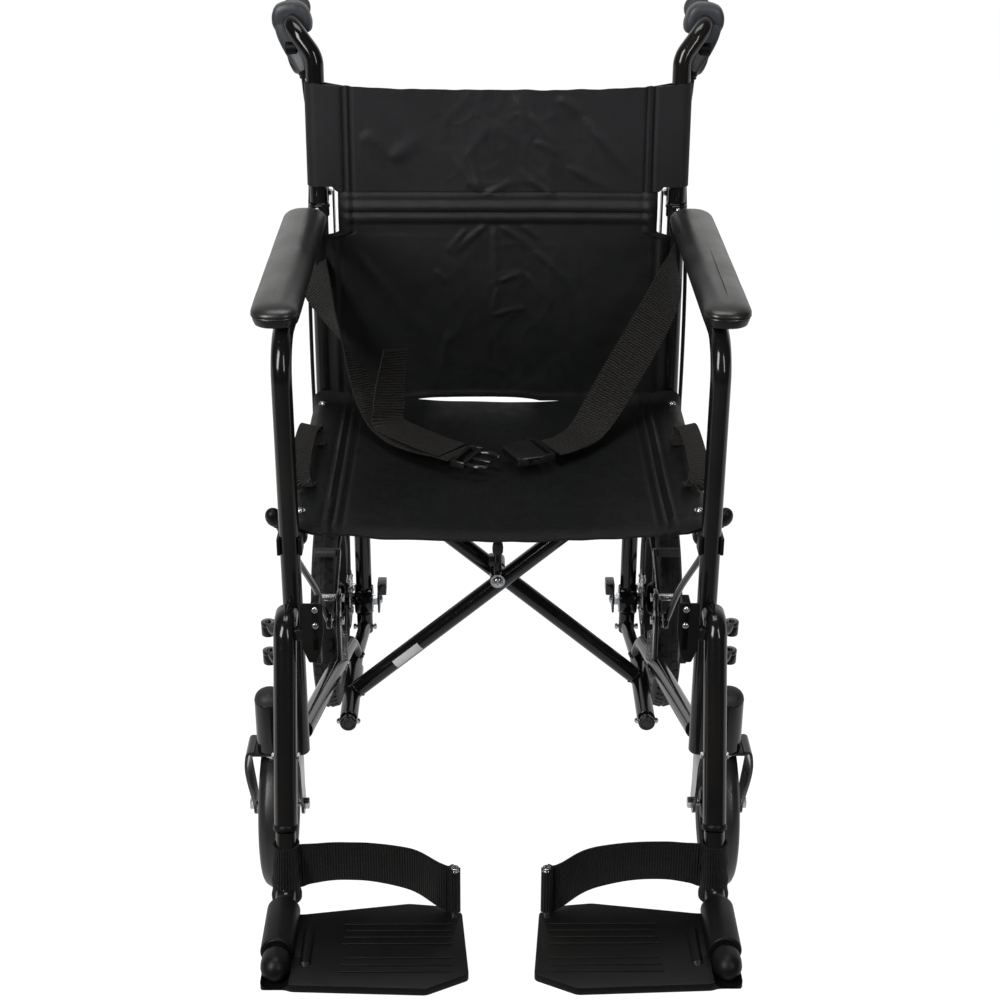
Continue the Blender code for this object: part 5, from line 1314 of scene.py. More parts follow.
# ---------------------------------------------------------------- footrests
def hanger(tag, s):
    """Swing-away hanger with its clamp ring, hooked hinge lugs, pins and latch."""
    x = s * HANGER_X
    ring = hanger_point(RING_Z) + Vector((x, 0, 0))
    slope = (hanger_point(TOE_Z) - hanger_point(HANGER_TOP_Z)).normalized()
    crest = HANGER_TOP_Z + 0.0110
    path = rounded([(x, FRONT_Y - TUBE_R - 0.0010, crest), (x, HANGER_BEND_Y, crest), ring], [0.022], 20)
    parts = [bar(path, HANGER_R, 44, 0.0008)]
    collar = lathe(eased([(0.0120, 0.0032), (0.0136, 0.0032), (0.0140, 0.0), (0.0136, -0.0032),
                          (0.0120, -0.0032)], 0.0008), ring, slope, 48)
    pins = []
    for z in (0.3845, 0.3485):
        outline = [(s * (SWING.x + 0.0080 * math.cos(math.radians(a))),
                    SWING.y + 0.0080 * math.sin(math.radians(a))) for a in range(140, -81, -20)]
        outline += [(s * (SWING.x - 0.004), -0.2020), (s * (HANGER_X + 0.006), -0.2120),
                    (s * (HANGER_X - 0.002), -0.2040), (s * 0.2440, -0.1900)]
        parts.append(plate(outline, 0.0050, Matrix.Translation((0, 0, z)), 0.0008))
        parts.append(rod((s * SWING.x, SWING.y, z - 0.012), (s * SWING.x, SWING.y, z + 0.0034), 0.0032, 24))
        parts.append(lathe(eased([(0.0, 0.0018), (0.0024, 0.0016), (0.0034, 0.0006), (0.0034, 0.0),
                                  (0.0, 0.0)], 0.0005), (s * SWING.x, SWING.y, z + 0.0026), (0, 0, 1), 28))
    parts.append(block((s * 0.2060, -0.2140, 0.3800), (s * 0.2300, -0.2020, 0.3930), 0.0012))
    body = "hanger_" + tag
    assemble("hanger_tube_piece_" + tag, body, PAINT, parts, "hanger_tube_" + tag)
    assemble("hanger_collar_" + tag, body, PLASTIC, [collar])
    bolt_at = hanger_point(0.262) + Vector((x, 0, 0))
    way = Vector((1, 0, 0))
    pins += through_bolt(bolt_at, way, 0.0140, 0.0026, 0.0124, 0.0040, 20)
    assemble("hanger_pins_" + tag, body, ZINC, pins, crease=25.0)

    outline = [(-0.0110, 0.0415), (0.0085, 0.0415), (0.0110, 0.0380), (0.0110, -0.0120), (0.0070, -0.0240),
               (0.0105, -0.0330), (0.0060, -0.0430), (-0.0020, -0.0400), (-0.0060, -0.0290),
               (-0.0110, -0.0190)]
    standing = placed((0, 1, 0), (0, 0, 1), (1, 0, 0), (s * LATCH_X, LATCH.y, LATCH.z - 0.004))
    latch = plate(corners_cut(outline, 0.0022), 0.0088, standing, 0.0014)
    cover = [(-0.0125, 0.0300), (0.0110, 0.0300), (0.0110, -0.0050), (0.0070, -0.0320), (0.0020, -0.0430),
             (-0.0060, -0.0430), (-0.0125, -0.0250)]
    cover = [(-s * a, b) for a, b in cover]
    if s > 0:
        cover = cover[::-1]
    facing = (Matrix.Translation((s * 0.2035, LATCH.y - 0.0095, LATCH.z + 0.0060))
              @ Matrix.Rotation(math.radians(90), 4, "X"))
    face = plate(corners_cut(cover, 0.0020), 0.0030, facing, 0.0008)
    assemble("hanger_latch_piece_" + tag, "hanger_latch_" + tag, PLASTIC, [latch, face],
             "hanger_latch_" + tag)
    front = LATCH.y - 0.0110
    screws = [fastener(CROSS_HEAD, (s * LATCH_X, front, z), (0, -1, 0), 0.0040) for z in (0.4215, 0.4020)]
    assemble("latch_screws_" + tag, "hanger_latch_" + tag, ZINC, screws, crease=28.0)


def footrest(tag, s):
    """Footrest tube with its domed end, the footplate with its barrel, ridge, ribs and heel post."""
    x = s * HANGER_X
    body = "hanger_" + tag
    slope = (hanger_point(TOE_Z) - hanger_point(HANGER_TOP_Z)).normalized()
    start = hanger_point(RING_Z) + Vector((x, 0, 0)) + slope * 0.0051
    path = rounded([start, (x, TOE_Y, TOE_Z), (x, BALL_Y, TOE_Z)], [0.024], 16)
    assemble("footrest_tube_piece_" + tag, body, PAINT, [bar(path, TUBE_R, 40)], "footrest_tube_" + tag,
             "satin_black_plastic")
    profile = [(0.0, 0.0190)]
    for i in range(1, 10):
        a = math.radians(90 * i / 9)
        profile.append((0.0152 * math.sin(a), 0.0020 + 0.0165 * math.cos(a)))
    profile += [(0.0154, -0.0020), (0.0150, -0.0080), (0.0146, -0.0118), (0.0, -0.0118)]
    cap = lathe(profile, (x, BALL_Y - 0.0035 + 0.0006, TOE_Z), (0, -1, 0), 56)
    assemble("footrest_cap_" + tag, body, PLASTIC, [cap])

    front, rear = plate_low.y, plate_high.y
    inner_x, outer_x = plate_low.x, plate_high.x - 0.0035
    thick = 0.0100
    outline = [(outer_x, -0.4270), (outer_x, -0.4560), (0.2250, -0.4560), (0.2180, front - 0.0020),
               (0.0780, front - 0.0080), (inner_x - 0.0080, -0.4420), (inner_x, -0.3420),
               (0.0600, rear - 0.0050),
               (0.1000, rear), (0.2150, -0.3440), (0.2300, -0.3430), (outer_x, -0.3430)]
    shape = corners_cut([(s * a, b) for a, b in outline], 0.004)
    slab = plate(shape, thick, Matrix.Translation((0, 0, PLATE_TOP - thick / 2)), 0.0012)
    wall = []
    for i in range(7):
        y = -0.4400 + 0.0108 * i + (0.012 if i > 2 else 0.0)
        wall.append(block((s * 0.0520, y, PLATE_TOP - 0.0004),
                          (s * (0.1700 - 0.002 * (i % 3)), y + 0.0026, PLATE_TOP + 0.0012), 0.0006))
    ridge = bar([(s * 0.2056, -0.3680, PLATE_TOP - 0.0030), (s * 0.2060, -0.4320, PLATE_TOP - 0.0030)],
                0.0068, 28, 0.0050)
    barrel_r = 0.0180
    barrel = lathe(eased([(TUBE_R + 0.0004, 0.0), (barrel_r - 0.0015, 0.0), (barrel_r, 0.0015),
                          (barrel_r, BARREL_REAR - BARREL_FRONT - 0.003),
                          (barrel_r - 0.002, BARREL_REAR - BARREL_FRONT),
                          (TUBE_R + 0.0004, BARREL_REAR - BARREL_FRONT)], 0.0012),
                          (x, BARREL_FRONT, TOE_Z), (0, 1, 0), 56)
    trough = rod((x, -0.4216, TOE_Z), (x, -0.50, TOE_Z), 0.0168, 48)
    bore = rod((x, -0.30, TOE_Z), (x, -0.43, TOE_Z), TUBE_R + 0.0004, 48)
    gusset = block((s * 0.2040, -0.4150, PLATE_TOP - 0.004), (s * 0.2300, -0.3480, PLATE_TOP + 0.0004),
                   0.0004)
    base = carved(slab, [trough, bore])
    gusset = carved(gusset, [bore])
    assemble("footplate_piece_" + tag, "footplate_" + tag, PLASTIC, [base, barrel, ridge, gusset] + wall,
             "footplate_" + tag)
    post_x, post_y = s * (inner_x + 0.0075), -0.3420
    post = rod((post_x, post_y, PLATE_TOP - 0.003), (post_x, post_y, plate_high.z - 0.006), 0.0034, 28)
    assemble("heel_post_" + tag, "footplate_" + tag, PLASTIC, [post])
    metal = [fastener(CAP_HEAD, (post_x, post_y, plate_high.z - 0.0062), (0, 0, 1), 0.0046),
             washer((post_x, post_y, plate_high.z - 0.0070), (0, 0, 1), 0.0050, 0.0012, 0.001),
             washer((post_x, post_y, PLATE_TOP - 0.0002), (0, 0, 1), 0.0056, 0.0030, 0.001)]
    assemble("heel_post_screw_" + tag, "footplate_" + tag, ZINC, metal, crease=28.0)


# ---------------------------------------------------------------- cross brace
def cross_tube(name, s, y, body):
    """Cross tube from the pivot on side -s up to the rail on side s, with its sleeve and bolt boss."""
    low = Vector((-s * PIVOT.x, y, PIVOT.z))
    high = Vector((s * CANE_X, y, SEAT_Z))
    along = (high - low).normalized()
    sleeve_front, sleeve_rear = 0.038, 0.166
    parts = [bar([low + along * 0.0020, high - along * (TUBE_R + GAP)], TUBE_R, 44, 0.0004),
             lathe(eased([(0.0094, 0.0), (0.0108, 0.0), (0.0115, 0.0007),
                          (0.0115, sleeve_rear - sleeve_front - 0.0007),
                          (0.0108, sleeve_rear - sleeve_front), (0.0094, sleeve_rear - sleeve_front)],
                         0.0003), (-s * PIVOT.x, sleeve_front, PIVOT.z), (0, 1, 0), 44),
             lathe(eased([(0.0043, -0.0128), (0.0094, -0.0128), (0.0100, -0.0118), (0.0100, 0.0135),
                          (0.0094, 0.0145), (0.0043, 0.0145)], 0.0005), (0, y, CROSS.z), (0, 1, 0), 40),
             weld(low + along * 0.0120, along, TUBE_R - 0.0004, 0.0014)]
    saddle = block((s * CANE_X - 0.0128, y - 0.022, SEAT_Z - TUBE_R - 0.0036),
                   (s * CANE_X + 0.0128, y + 0.022, SEAT_Z - TUBE_R - 0.0006), 0.001)
    assemble(name + "_piece", body, PAINT, parts + [saddle], name)
    return low, along


def cross_brace():
    """Both cross tubes, the bolt that joins them, the bumper post and the blank label."""
    low, along = cross_tube("cross_tube_front", 1.0, FRONT_TUBE_Y, "brace_front")
    cross_tube("cross_tube_rear", -1.0, REAR_TUBE_Y, "brace_rear")
    front, rear = FRONT_TUBE_Y - 0.0132, REAR_TUBE_Y + 0.0149
    metal = [rod((0, front - 0.001, CROSS.z), (0, rear + 0.004, CROSS.z), 0.0040, 28),
             washer((0, front - 0.0006, CROSS.z), (0, -1, 0), 0.0092, 0.0012, 0.003),
             fastener(CROSS_HEAD, (0, front - 0.0018, CROSS.z), (0, -1, 0), 0.0070),
             fastener(HEX_HEAD, (0, rear, CROSS.z), (0, 1, 0), 0.0070)]
    assemble("cross_bolt_piece", "brace_front", ZINC, metal, "cross_bolt", crease=28.0)
    foot = Vector((0, FRONT_TUBE_Y - 0.004, CROSS.z + 0.0065))
    post = lathe(eased([(0.0, 0.0290), (0.0050, 0.0290), (0.0050, 0.0), (0.0, 0.0)], 0.0004), foot,
                 (0, 0, 1), 32)
    tab = block((-0.0110, foot.y - 0.002, foot.z + 0.010), (-0.0040, foot.y + 0.010, foot.z + 0.024),
                0.0010)
    assemble("bumper_post", "brace_front", PAINT, [post, tab])
    cap = lathe(eased([(0.0, 0.0460), (0.0042, 0.0452), (0.0064, 0.0420), (0.0070, 0.0360),
                       (0.0066, 0.0290), (0.0, 0.0290)], 0.0012), foot, (0, 0, 1), 40)
    assemble("bumper_cap", "brace_front", RUBBER, [cap])
    side = along.cross(Vector((0, -1, 0))).normalized()
    rows = []
    for i in range(17):
        share = i / 16
        p = low + along * (0.0760 + 0.0430 * share)
        rows.append([p + (Vector((0, -1, 0)) * math.cos(a) - side * math.sin(a)) * (TUBE_R + 0.0002)
                     for a in (math.radians(-36 + 64 * k / 16) for k in range(17))])
    assemble("blank_label_patch", "brace_front", LABEL, [skin(rows, 0.00025)])


# ---------------------------------------------------------------- seat cloth
SEAT_SEAMS = (0.1765, 0.1870)                   # stitched lines along the sides of the seat
SEAT_LIFT = Vector((0, 0, CLOTH_T / 2 + 0.0002))   # from the middle of the cloth to its threads


def hump(value, centre, width):
    """Smooth bump of height 1 at a centre."""
    return math.exp(-((value - centre) / width) ** 2)


def column_at(x, first, columns):
    """Number of the cloth's column nearest to x, where column first lies over the right tube."""
    return first + round((x + CANE_X) / (2 * CANE_X) * columns)


def seat_sling():
    """Seat cloth wrapped over both rails, with double side seams and a rolled front hem."""
    reach = TUBE_R + GAP + CLOTH_T / 2
    wrap = [-30 + 10 * i for i in range(12)]
    columns = 132
    front, rear = SEAT_FRONT - 0.0035, CANE_Y - TUBE_R - 0.0035
    count = 96
    rows = []
    for r in range(count + 1):
        share = r / count
        y = front + (rear - front) * share
        depth = 0.0075 + 0.0055 * math.sin(math.pi * min(1, share * 1.05 + 0.12))
        curl = 0.0100 * max(0.0, (y - SEAT_REAR + 0.006) / (rear - SEAT_REAR + 0.006)) ** 1.5
        row = [(-(CANE_X + reach * math.cos(math.radians(a))), y,
                SEAT_Z + curl + reach * math.sin(math.radians(a))) for a in wrap]
        for c in range(1, columns):
            x = -CANE_X + 2 * CANE_X * c / columns
            inside = max(0.0, 1 - (abs(x) / CANE_X) ** 2.2)
            z = SEAT_Z + reach - depth * inside + curl * (1 - 0.85 * inside)
            lip = max(0.0, 1 - (y - front) / 0.020)
            z -= 0.0050 * lip ** 2 * min(1, inside * 6)
            out = abs(x)
            z += 0.0019 * (hump(out, 0.1815, 0.0024) + hump(out, 0.1925, 0.0024))
            z -= 0.0014 * (hump(out, SEAT_SEAMS[0], 0.0020) + hump(out, SEAT_SEAMS[1], 0.0018)
                           + hump(out, 0.1975, 0.0020))
            z += 0.0006 * hump(y, front + 0.022, 0.0016) * min(1, inside * 6)
            fade = math.exp(-(y - front) / 0.045)
            ripple = noise.noise(Vector((x * 34, y * 6, 3.1))) * 0.0016 * fade
            soft = noise.noise(Vector((x * 11, y * 9, 7.7))) * 0.0018
            soft += 0.0010 * hump(x - 0.035 + 0.3 * (y + 0.02), 0.0, 0.0028) * hump(y, -0.015, 0.035)
            soft += 0.0006 * noise.noise(Vector((x * 30 + y * 12, y * 16, 1.3)))
            z += (ripple + soft) * min(1, inside * 4)
            row.append((x, y + 0.0012 * noise.noise(Vector((x * 28, 0, 5.5))) * lip, z))
        row += [(-x, y, z) for x, y, z in reversed(row[:len(wrap)])]
        rows.append(row)
    cloth = assemble("seat_cloth", None, NYLON, [skin(rows,
                                                      lambda p: CLOTH_T + 0.0012 * (p.y < front + 0.021))],
                                                      "seat_sling", crease=60.0)

    first = len(wrap) - 1
    lines = []
    for x in sorted((*SEAT_SEAMS, *(-x for x in SEAT_SEAMS))):
        c = column_at(x, first, columns)
        lines += stitches([Vector(row[c]) + SEAT_LIFT for row in rows[1:-1:2]])
    hem_row = rows[round(count * 0.0215 / (rear - front))]
    lines += stitches([Vector(p) + SEAT_LIFT for p in hem_row[first + 3:-first - 3:2]])
    seam = assemble("seat_stitching", None, THREAD, lines)
    for piece in (cloth, seam):
        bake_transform(piece)


# ---------------------------------------------------------------- back cloth
RIBS = (0.7415, 0.7285, 0.7155)                 # stitched lines of the sewn channels across the back
SLEEVE_END = 0.1860                             # where a sleeve's rear edge ends, behind the front seam
SLEEVE_SEAM, PANEL_SEAM = 0.1905, 0.1820        # stitched lines on each side of the seam of a sleeve
BACK_LIFT = Vector((0, CLOTH_T / 2 + 0.0001, 0))   # from the threads to the middle of the cloth
CREASES = (                                     # folds of the back cloth: start, end, height, half width
    ((-0.021, 0.750), (-0.064, 0.807), 0.0034, 0.0050),
    ((-0.021, 0.750), (-0.036, 0.812), 0.0030, 0.0042),
    ((-0.019, 0.750), (0.022, 0.769), 0.0032, 0.0045),
    ((0.070, 0.748), (0.023, 0.781), 0.0030, 0.0050),
    ((0.069, 0.751), (0.054, 0.782), 0.0026, 0.0045),
    ((0.020, 0.873), (0.043, 0.817), 0.0030, 0.0055),
    ((0.043, 0.817), (0.074, 0.802), 0.0022, 0.0050),
    ((0.037, 0.852), (0.069, 0.812), 0.0024, 0.0048),
    ((0.073, 0.870), (0.104, 0.848), 0.0030, 0.0060),
    ((0.104, 0.848), (0.152, 0.782), 0.0026, 0.0065),
    ((0.114, 0.833), (0.167, 0.777), 0.0022, 0.0055),
    ((-0.167, 0.828), (-0.133, 0.793), 0.0030, 0.0120),
    ((-0.133, 0.793), (-0.095, 0.822), 0.0030, 0.0120),
    ((0.085, 0.787), (0.148, 0.751), 0.0024, 0.0070),
    ((-0.013, 0.715), (-0.058, 0.675), 0.0034, 0.0050),
    ((-0.005, 0.712), (-0.002, 0.656), 0.0028, 0.0046),
    ((0.003, 0.712), (0.044, 0.683), 0.0034, 0.0048),
    ((0.044, 0.683), (0.095, 0.634), 0.0026, 0.0045),
    ((0.029, 0.713), (0.053, 0.693), 0.0026, 0.0040),
    ((-0.039, 0.709), (-0.065, 0.677), 0.0024, 0.0042),
    ((0.000, 0.640), (0.034, 0.653), 0.0026, 0.0040),
    ((0.034, 0.653), (0.061, 0.618), 0.0022, 0.0042),
    ((0.000, 0.634), (-0.007, 0.596), 0.0022, 0.0042),
    ((-0.007, 0.596), (0.035, 0.608), 0.0022, 0.0040),
    ((-0.079, 0.656), (-0.063, 0.636), 0.0022, 0.0045),
    ((-0.181, 0.682), (-0.093, 0.568), 0.0024, 0.0100),
    ((-0.061, 0.580), (-0.077, 0.496), 0.0020, 0.0080),
)


def back_relief(x, z):
    """How far the back cloth stands forward of its plane at a point: slack, sewn channels and creases."""
    inside = max(0.0, 1 - (abs(x) / 0.200) ** 2)
    stand = -0.0030 * inside
    for (x0, z0), (x1, z1), height, width in CREASES:
        run = Vector((x1 - x0, z1 - z0))
        share = min(1.0, max(0.0, Vector((x - x0, z - z0)).dot(run) / run.length_squared))
        away = (Vector((x, z)) - Vector((x0, z0)) - run * share).length
        spread = width * (0.55 + 0.5 * share)
        taper = min(1.0, share / 0.18) * (1 - share) ** 0.7
        stand += 0.80 * height * math.exp(-(away / spread) ** 2) * taper
    for low, high in zip(RIBS[1:], RIBS):
        if low < z < high:
            stand += 0.0036 * math.sin(math.pi * (z - low) / (high - low)) ** 0.7 * min(1, inside * 9)
    crumpled = hump(x, 0.010, 0.110) * inside
    for scale, depth, seed in ((15, 0.0006, 3.0), (31, 0.0004, 8.0)):
        fold = abs(noise.noise(Vector((x * scale, z * scale * 0.8, seed))))
        stand += depth * max(0.0, 1 - fold / 0.16) * crumpled
    stand += 0.0018 * noise.noise(Vector((x * 9, z * 7, 2.2))) * inside
    stand += 0.0008 * noise.noise(Vector((x * 26, z * 18, 6.1))) * inside
    return stand


def back_front(x, z):
    """Y of the middle of the back cloth at a point of its front face."""
    return cane_y(z) - TUBE_R - GAP - CLOTH_T / 2 - back_relief(x, z)


def back_upper():
    """Upper back cloth: a sleeve round each upper cane, sewn to the front panel with two vertical seams."""
    reach = TUBE_R + GAP + CLOTH_T / 2
    angles = [50 + 10 * i for i in range(23)]
    tucked = 4                                  # points of a sleeve's flat rear edge
    overlap = 13                                # columns of a sleeve's front, from over the tube inward
    columns, count = 150, 56
    rows = []
    for r in range(count + 1):
        share = r / count
        base_z = BACK_SPLIT + 0.0002 + (BACK_TOP + 0.0015 - BACK_SPLIT) * share

        def height_at(x):
            """Height of the row at x: the top edge sags between the canes and rises at the seams."""
            sag = 0.0075 * max(0.0, 1 - (abs(x) / CANE_X) ** 3) * share ** 3
            outer = min(1.0, max(0.0, (abs(x) - 0.2000) / 0.0060))
            lifted = 0.0060 * outer * outer * (3 - 2 * outer) * (1 - share) ** 4
            pucker = 0.0015 * noise.noise(Vector((x * 45, 2.0, 0))) * share ** 8
            return base_z - sag + lifted + pucker + 0.0018 * hump(abs(x), 0.186, 0.004) * share ** 6

        z = height_at(CANE_X)
        cy = cane_y(z)
        rear_low = 0.0035 * share ** 3
        sleeve = [Vector((-SLEEVE_END - 0.003 * k, cy - reach + 0.0030 + 0.0022 * k, z - rear_low))
                  for k in range(tucked)]
        sleeve += [Vector((-CANE_X + reach * math.cos(math.radians(a)),
                           cy + reach * math.sin(math.radians(a)),
                           z - rear_low * max(0.0, math.sin(math.radians(a))))) for a in angles]
        row = list(sleeve)
        for c in range(1, columns):
            x = -CANE_X + 2 * CANE_X * c / columns
            zz = height_at(x)
            seam = 0.0022 * hump(abs(x), 0.1862, 0.0028)
            seam -= 0.0026 * (hump(abs(x), PANEL_SEAM, 0.0017) + hump(abs(x), SLEEVE_SEAM, 0.0017))
            row.append(Vector((x, back_front(x, zz) - seam, zz)))
        row += [Vector((-p.x, p.y, p.z)) for p in reversed(sleeve)]
        rows.append(row)
    first = tucked + len(angles) - 1
    cut = first + overlap
    last = len(rows[0]) - 1 - cut
    for tag, s, keep in (("right", -1, slice(0, cut + 1)), ("left", 1, slice(last, None))):
        sleeve_cloth = assemble("back_sleeve_" + tag, "back_" + tag, BACK_NYLON,
                                [skin([r[keep] for r in rows], CLOTH_T)], crease=60.0)
        c = column_at(s * SLEEVE_SEAM, first, columns)
        assemble("back_sleeve_stitching_" + tag, "back_" + tag, THREAD,
                 stitches([row[c] - BACK_LIFT for row in rows]))
    behind = Vector((0, 0.0017, 0))
    panel = [[row[cut - 1] + behind, row[cut] + behind] + row[cut + 1:last]
             + [row[last] + behind, row[last + 1] + behind] for row in rows]
    cloth = assemble("back_cloth_upper", "back_right", BACK_NYLON, [skin(panel, CLOTH_T)], "back_upper",
                     crease=60.0)
    lines = []
    for x in (-PANEL_SEAM, PANEL_SEAM):
        c = column_at(x, first, columns)
        lines += stitches([row[c] - BACK_LIFT for row in rows])
    seam = assemble("back_stitching_upper", "back_right", THREAD, lines)
    for piece in (cloth, seam):
        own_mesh(piece)


def back_lower():
    """Lower back cloth between the lower canes, with the two sewn channels and a bound lower edge."""
    top_half, low_half = 0.1985, 0.2165
    columns, count = 150, 110
    bottom = BACK_BOTTOM - 0.0030
    rows = []
    for r in range(count + 1):
        share = r / count
        z = bottom + (BACK_SPLIT + 0.0045 - bottom) * share
        tuck = 0.0030 * min(1.0, max(0.0, (z - BACK_SPLIT + 0.0035) / 0.0030))
        step = min(1.0, max(0.0, (0.7030 - z) / 0.006))
        half = top_half + (low_half - top_half) * step * step * (3 - 2 * step)
        row = []
        for c in range(columns + 1):
            x = half * (2 * c / columns - 1)
            lift = 0.0055 * max(0.0, 1 - (abs(x + 0.030) / 0.085) ** 4) * (1 - share) ** 6
            zz = z + lift
            edge = max(0.0, (abs(x) - half + 0.010) / 0.010)
            fold_line = (0.0016 * hump(abs(x), half - 0.0120, 0.0030)
                         - 0.0012 * hump(abs(x), half - 0.0180, 0.0026))
            y = back_front(x, zz) + 0.0050 * edge ** 2 - fold_line + tuck
            y -= 0.0012 * hump(z, bottom + 0.004, 0.004)
            row.append(Vector((x, y, zz)))
        rows.append(row)
    cloth = assemble("back_cloth_lower", "frame_right", BACK_NYLON, [skin(rows, CLOTH_T)], "back_lower",
                     crease=60.0)
    lines = []
    for level in RIBS:
        r = round((level - bottom) / (BACK_SPLIT - bottom) * count)
        lines += stitches([p - BACK_LIFT for p in rows[r][3:-3:2]])
    for c in (6, columns - 6):
        lines += stitches([row[c] - BACK_LIFT for row in rows[:88]])
    lines += stitches([p - BACK_LIFT for p in rows[3][4:-4:2]])
    seam = assemble("back_stitching_lower", "frame_right", THREAD, lines)
    for piece in (cloth, seam):
        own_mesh(piece)


# ---------------------------------------------------------------- straps
def ribbon(knots, width, thickness=0.0016, steps=10, across=9):
    """Strap from (point, direction across it) pairs, smoothly joined."""
    path = flowing([p for p, _ in knots], steps)
    sides = flowing([Vector(d).normalized() for _, d in knots], steps)
    rows = []
    for p, d, (ahead, _, _) in zip(path, sides, frames(path)):
        d = (d - ahead * d.dot(ahead)).normalized()
        rows.append([p + d * width * (k / (across - 1) - 0.5) for k in range(across)])
    return skin(rows, thickness)


BELT_W = 0.048


def belt_right():
    """Right half of the belt: down from the cane to the seat, a standing tail, and the male buckle."""
    strap = [((-0.2330, 0.2480, 0.6560), (0.5, -0.1, 0.6)), ((-0.2260, 0.2250, 0.6370), (0.5, -0.3, 0.44)),
             ((-0.2110, 0.2050, 0.6110), (0.35, -0.70, 0.50)),
             ((-0.1950, 0.1850, 0.5860), (0.02, -0.85, 0.52)),
             ((-0.1790, 0.1680, 0.5560), (-0.35, -0.85, 0.35)),
             ((-0.1640, 0.1520, 0.5260), (-0.55, -0.80, 0.15)),
             ((-0.1450, 0.1280, 0.5010), (-0.62, -0.78, 0.0)),
             ((-0.1230, 0.0960, 0.4925), (-0.45, -0.88, 0.0)),
             ((-0.0980, 0.0700, 0.4925), (-0.25, -0.97, 0.0)),
             ((-0.0700, 0.0480, 0.4945), (-0.22, -0.97, 0.0)),
             ((-0.0480, 0.0340, 0.4935), (-0.28, -0.95, 0.0))]
    tail = [((-0.0560, 0.0400, 0.4965), (0.25, 0.96, 0.0)), ((-0.0860, 0.0660, 0.4965), (0.35, 0.93, 0.0)),
            ((-0.1120, 0.0930, 0.4965), (0.50, 0.86, 0.0)), ((-0.1300, 0.1130, 0.4970), (0.70, 0.70, 0.0)),
            ((-0.1358, 0.1220, 0.5020), (0.75, 0.66, 0.0)), ((-0.1350, 0.1270, 0.5140), (0.75, 0.66, 0.0)),
            ((-0.1335, 0.1340, 0.5360), (0.72, 0.69, 0.0)), ((-0.1300, 0.1400, 0.5600), (0.66, 0.75, 0.0)),
            ((-0.1260, 0.1450, 0.5860), (0.58, 0.81, 0.0))]
    parts = [ribbon(strap, BELT_W), ribbon(tail, BELT_W)]
    piece = assemble("belt_strap_right", "frame_right", WEBBING, parts, "belt_right", crease=60.0)
    bars = [block((-0.0150, -0.0260, -0.0035), (-0.0110, 0.0260, 0.0045), 0.0012),
            block((-0.0010, -0.0260, -0.0035), (0.0040, 0.0260, 0.0045), 0.0012),
            block((-0.0150, -0.0270, -0.0040), (0.0040, -0.0225, 0.0050), 0.0014),
            block((-0.0150, 0.0225, -0.0040), (0.0040, 0.0270, 0.0050), 0.0014),
            block((0.0030, -0.0035, -0.0018), (0.0270, 0.0035, 0.0018), 0.0012)]
    for y in (-0.0190, 0.0190):
        prong = flowing([(0.0030, y, 0.0), (0.0140, y * 1.15, 0.0), (0.0240, y * 1.05, 0.0),
                         (0.0300, y * 0.80, 0.0)], 5)
        bars.append(bar(prong, lambda share: 0.0024 + 0.0010 * math.sin(math.pi * share), 14, 0.0006))
    at = Matrix.Translation((-0.0330, 0.0250, 0.4930)) @ Matrix.Rotation(math.radians(-26), 4, "Z")
    bars = [moved(part, at) for part in bars]
    buckle = assemble("belt_buckle_male", "frame_right", CAP_PLASTIC, bars)
    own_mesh(piece)
    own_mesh(buckle)


def belt_left():
    """Left half of the belt: a flat strap from the cane down to the female buckle."""
    strap = [((0.2290, 0.2560, 0.6700), (0.10, 0.0, -1)), ((0.2180, 0.2240, 0.6520), (0.35, 0.0, -0.9)),
             ((0.2010, 0.1960, 0.6230), (0.60, -0.1, -0.75)),
             ((0.1760, 0.1690, 0.5860), (0.82, -0.24, -0.51)),
             ((0.1500, 0.1440, 0.5500), (0.86, -0.30, -0.42)),
             ((0.1290, 0.1220, 0.5200), (0.88, -0.40, -0.25)),
             ((0.1070, 0.0940, 0.4980), (0.72, -0.68, -0.10)),
             ((0.0830, 0.0690, 0.4935), (0.50, -0.85, 0.0)), ((0.0620, 0.0560, 0.4925), (0.42, -0.90, 0.0))]
    piece = assemble("belt_strap_left", "frame_left", WEBBING, [ribbon(strap, BELT_W)], "belt_left",
                     crease=60.0)
    at = Matrix.Translation((0.0370, 0.0400, 0.4935)) @ Matrix.Rotation(math.radians(26), 4, "Z")
    outline = corners_cut([(-0.0270, -0.0200), (-0.0230, -0.0230), (0.0060, -0.0270), (0.0220, -0.0270),
                           (0.0220, 0.0270), (0.0060, 0.0270), (-0.0230, 0.0230), (-0.0270, 0.0200)], 0.003)
    shell = carved(plate(outline, 0.0110, Matrix.Identity(4), 0.0020),
                   [block((0.0105, -0.0225, -0.02), (0.0165, 0.0225, 0.02), 0.001),
                    block((-0.0320, -0.0205, -0.0028), (-0.0120, 0.0205, 0.0028), 0.001),
                    block((-0.0140, -0.0300, -0.0030), (-0.0010, -0.0205, 0.0030), 0.001),
                    block((-0.0140, 0.0205, -0.0030), (-0.0010, 0.0300, 0.0030), 0.001)])
    buckle = assemble("belt_buckle_female", "frame_left", CAP_PLASTIC, [moved(shell, at)])
    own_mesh(piece)
    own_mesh(buckle)


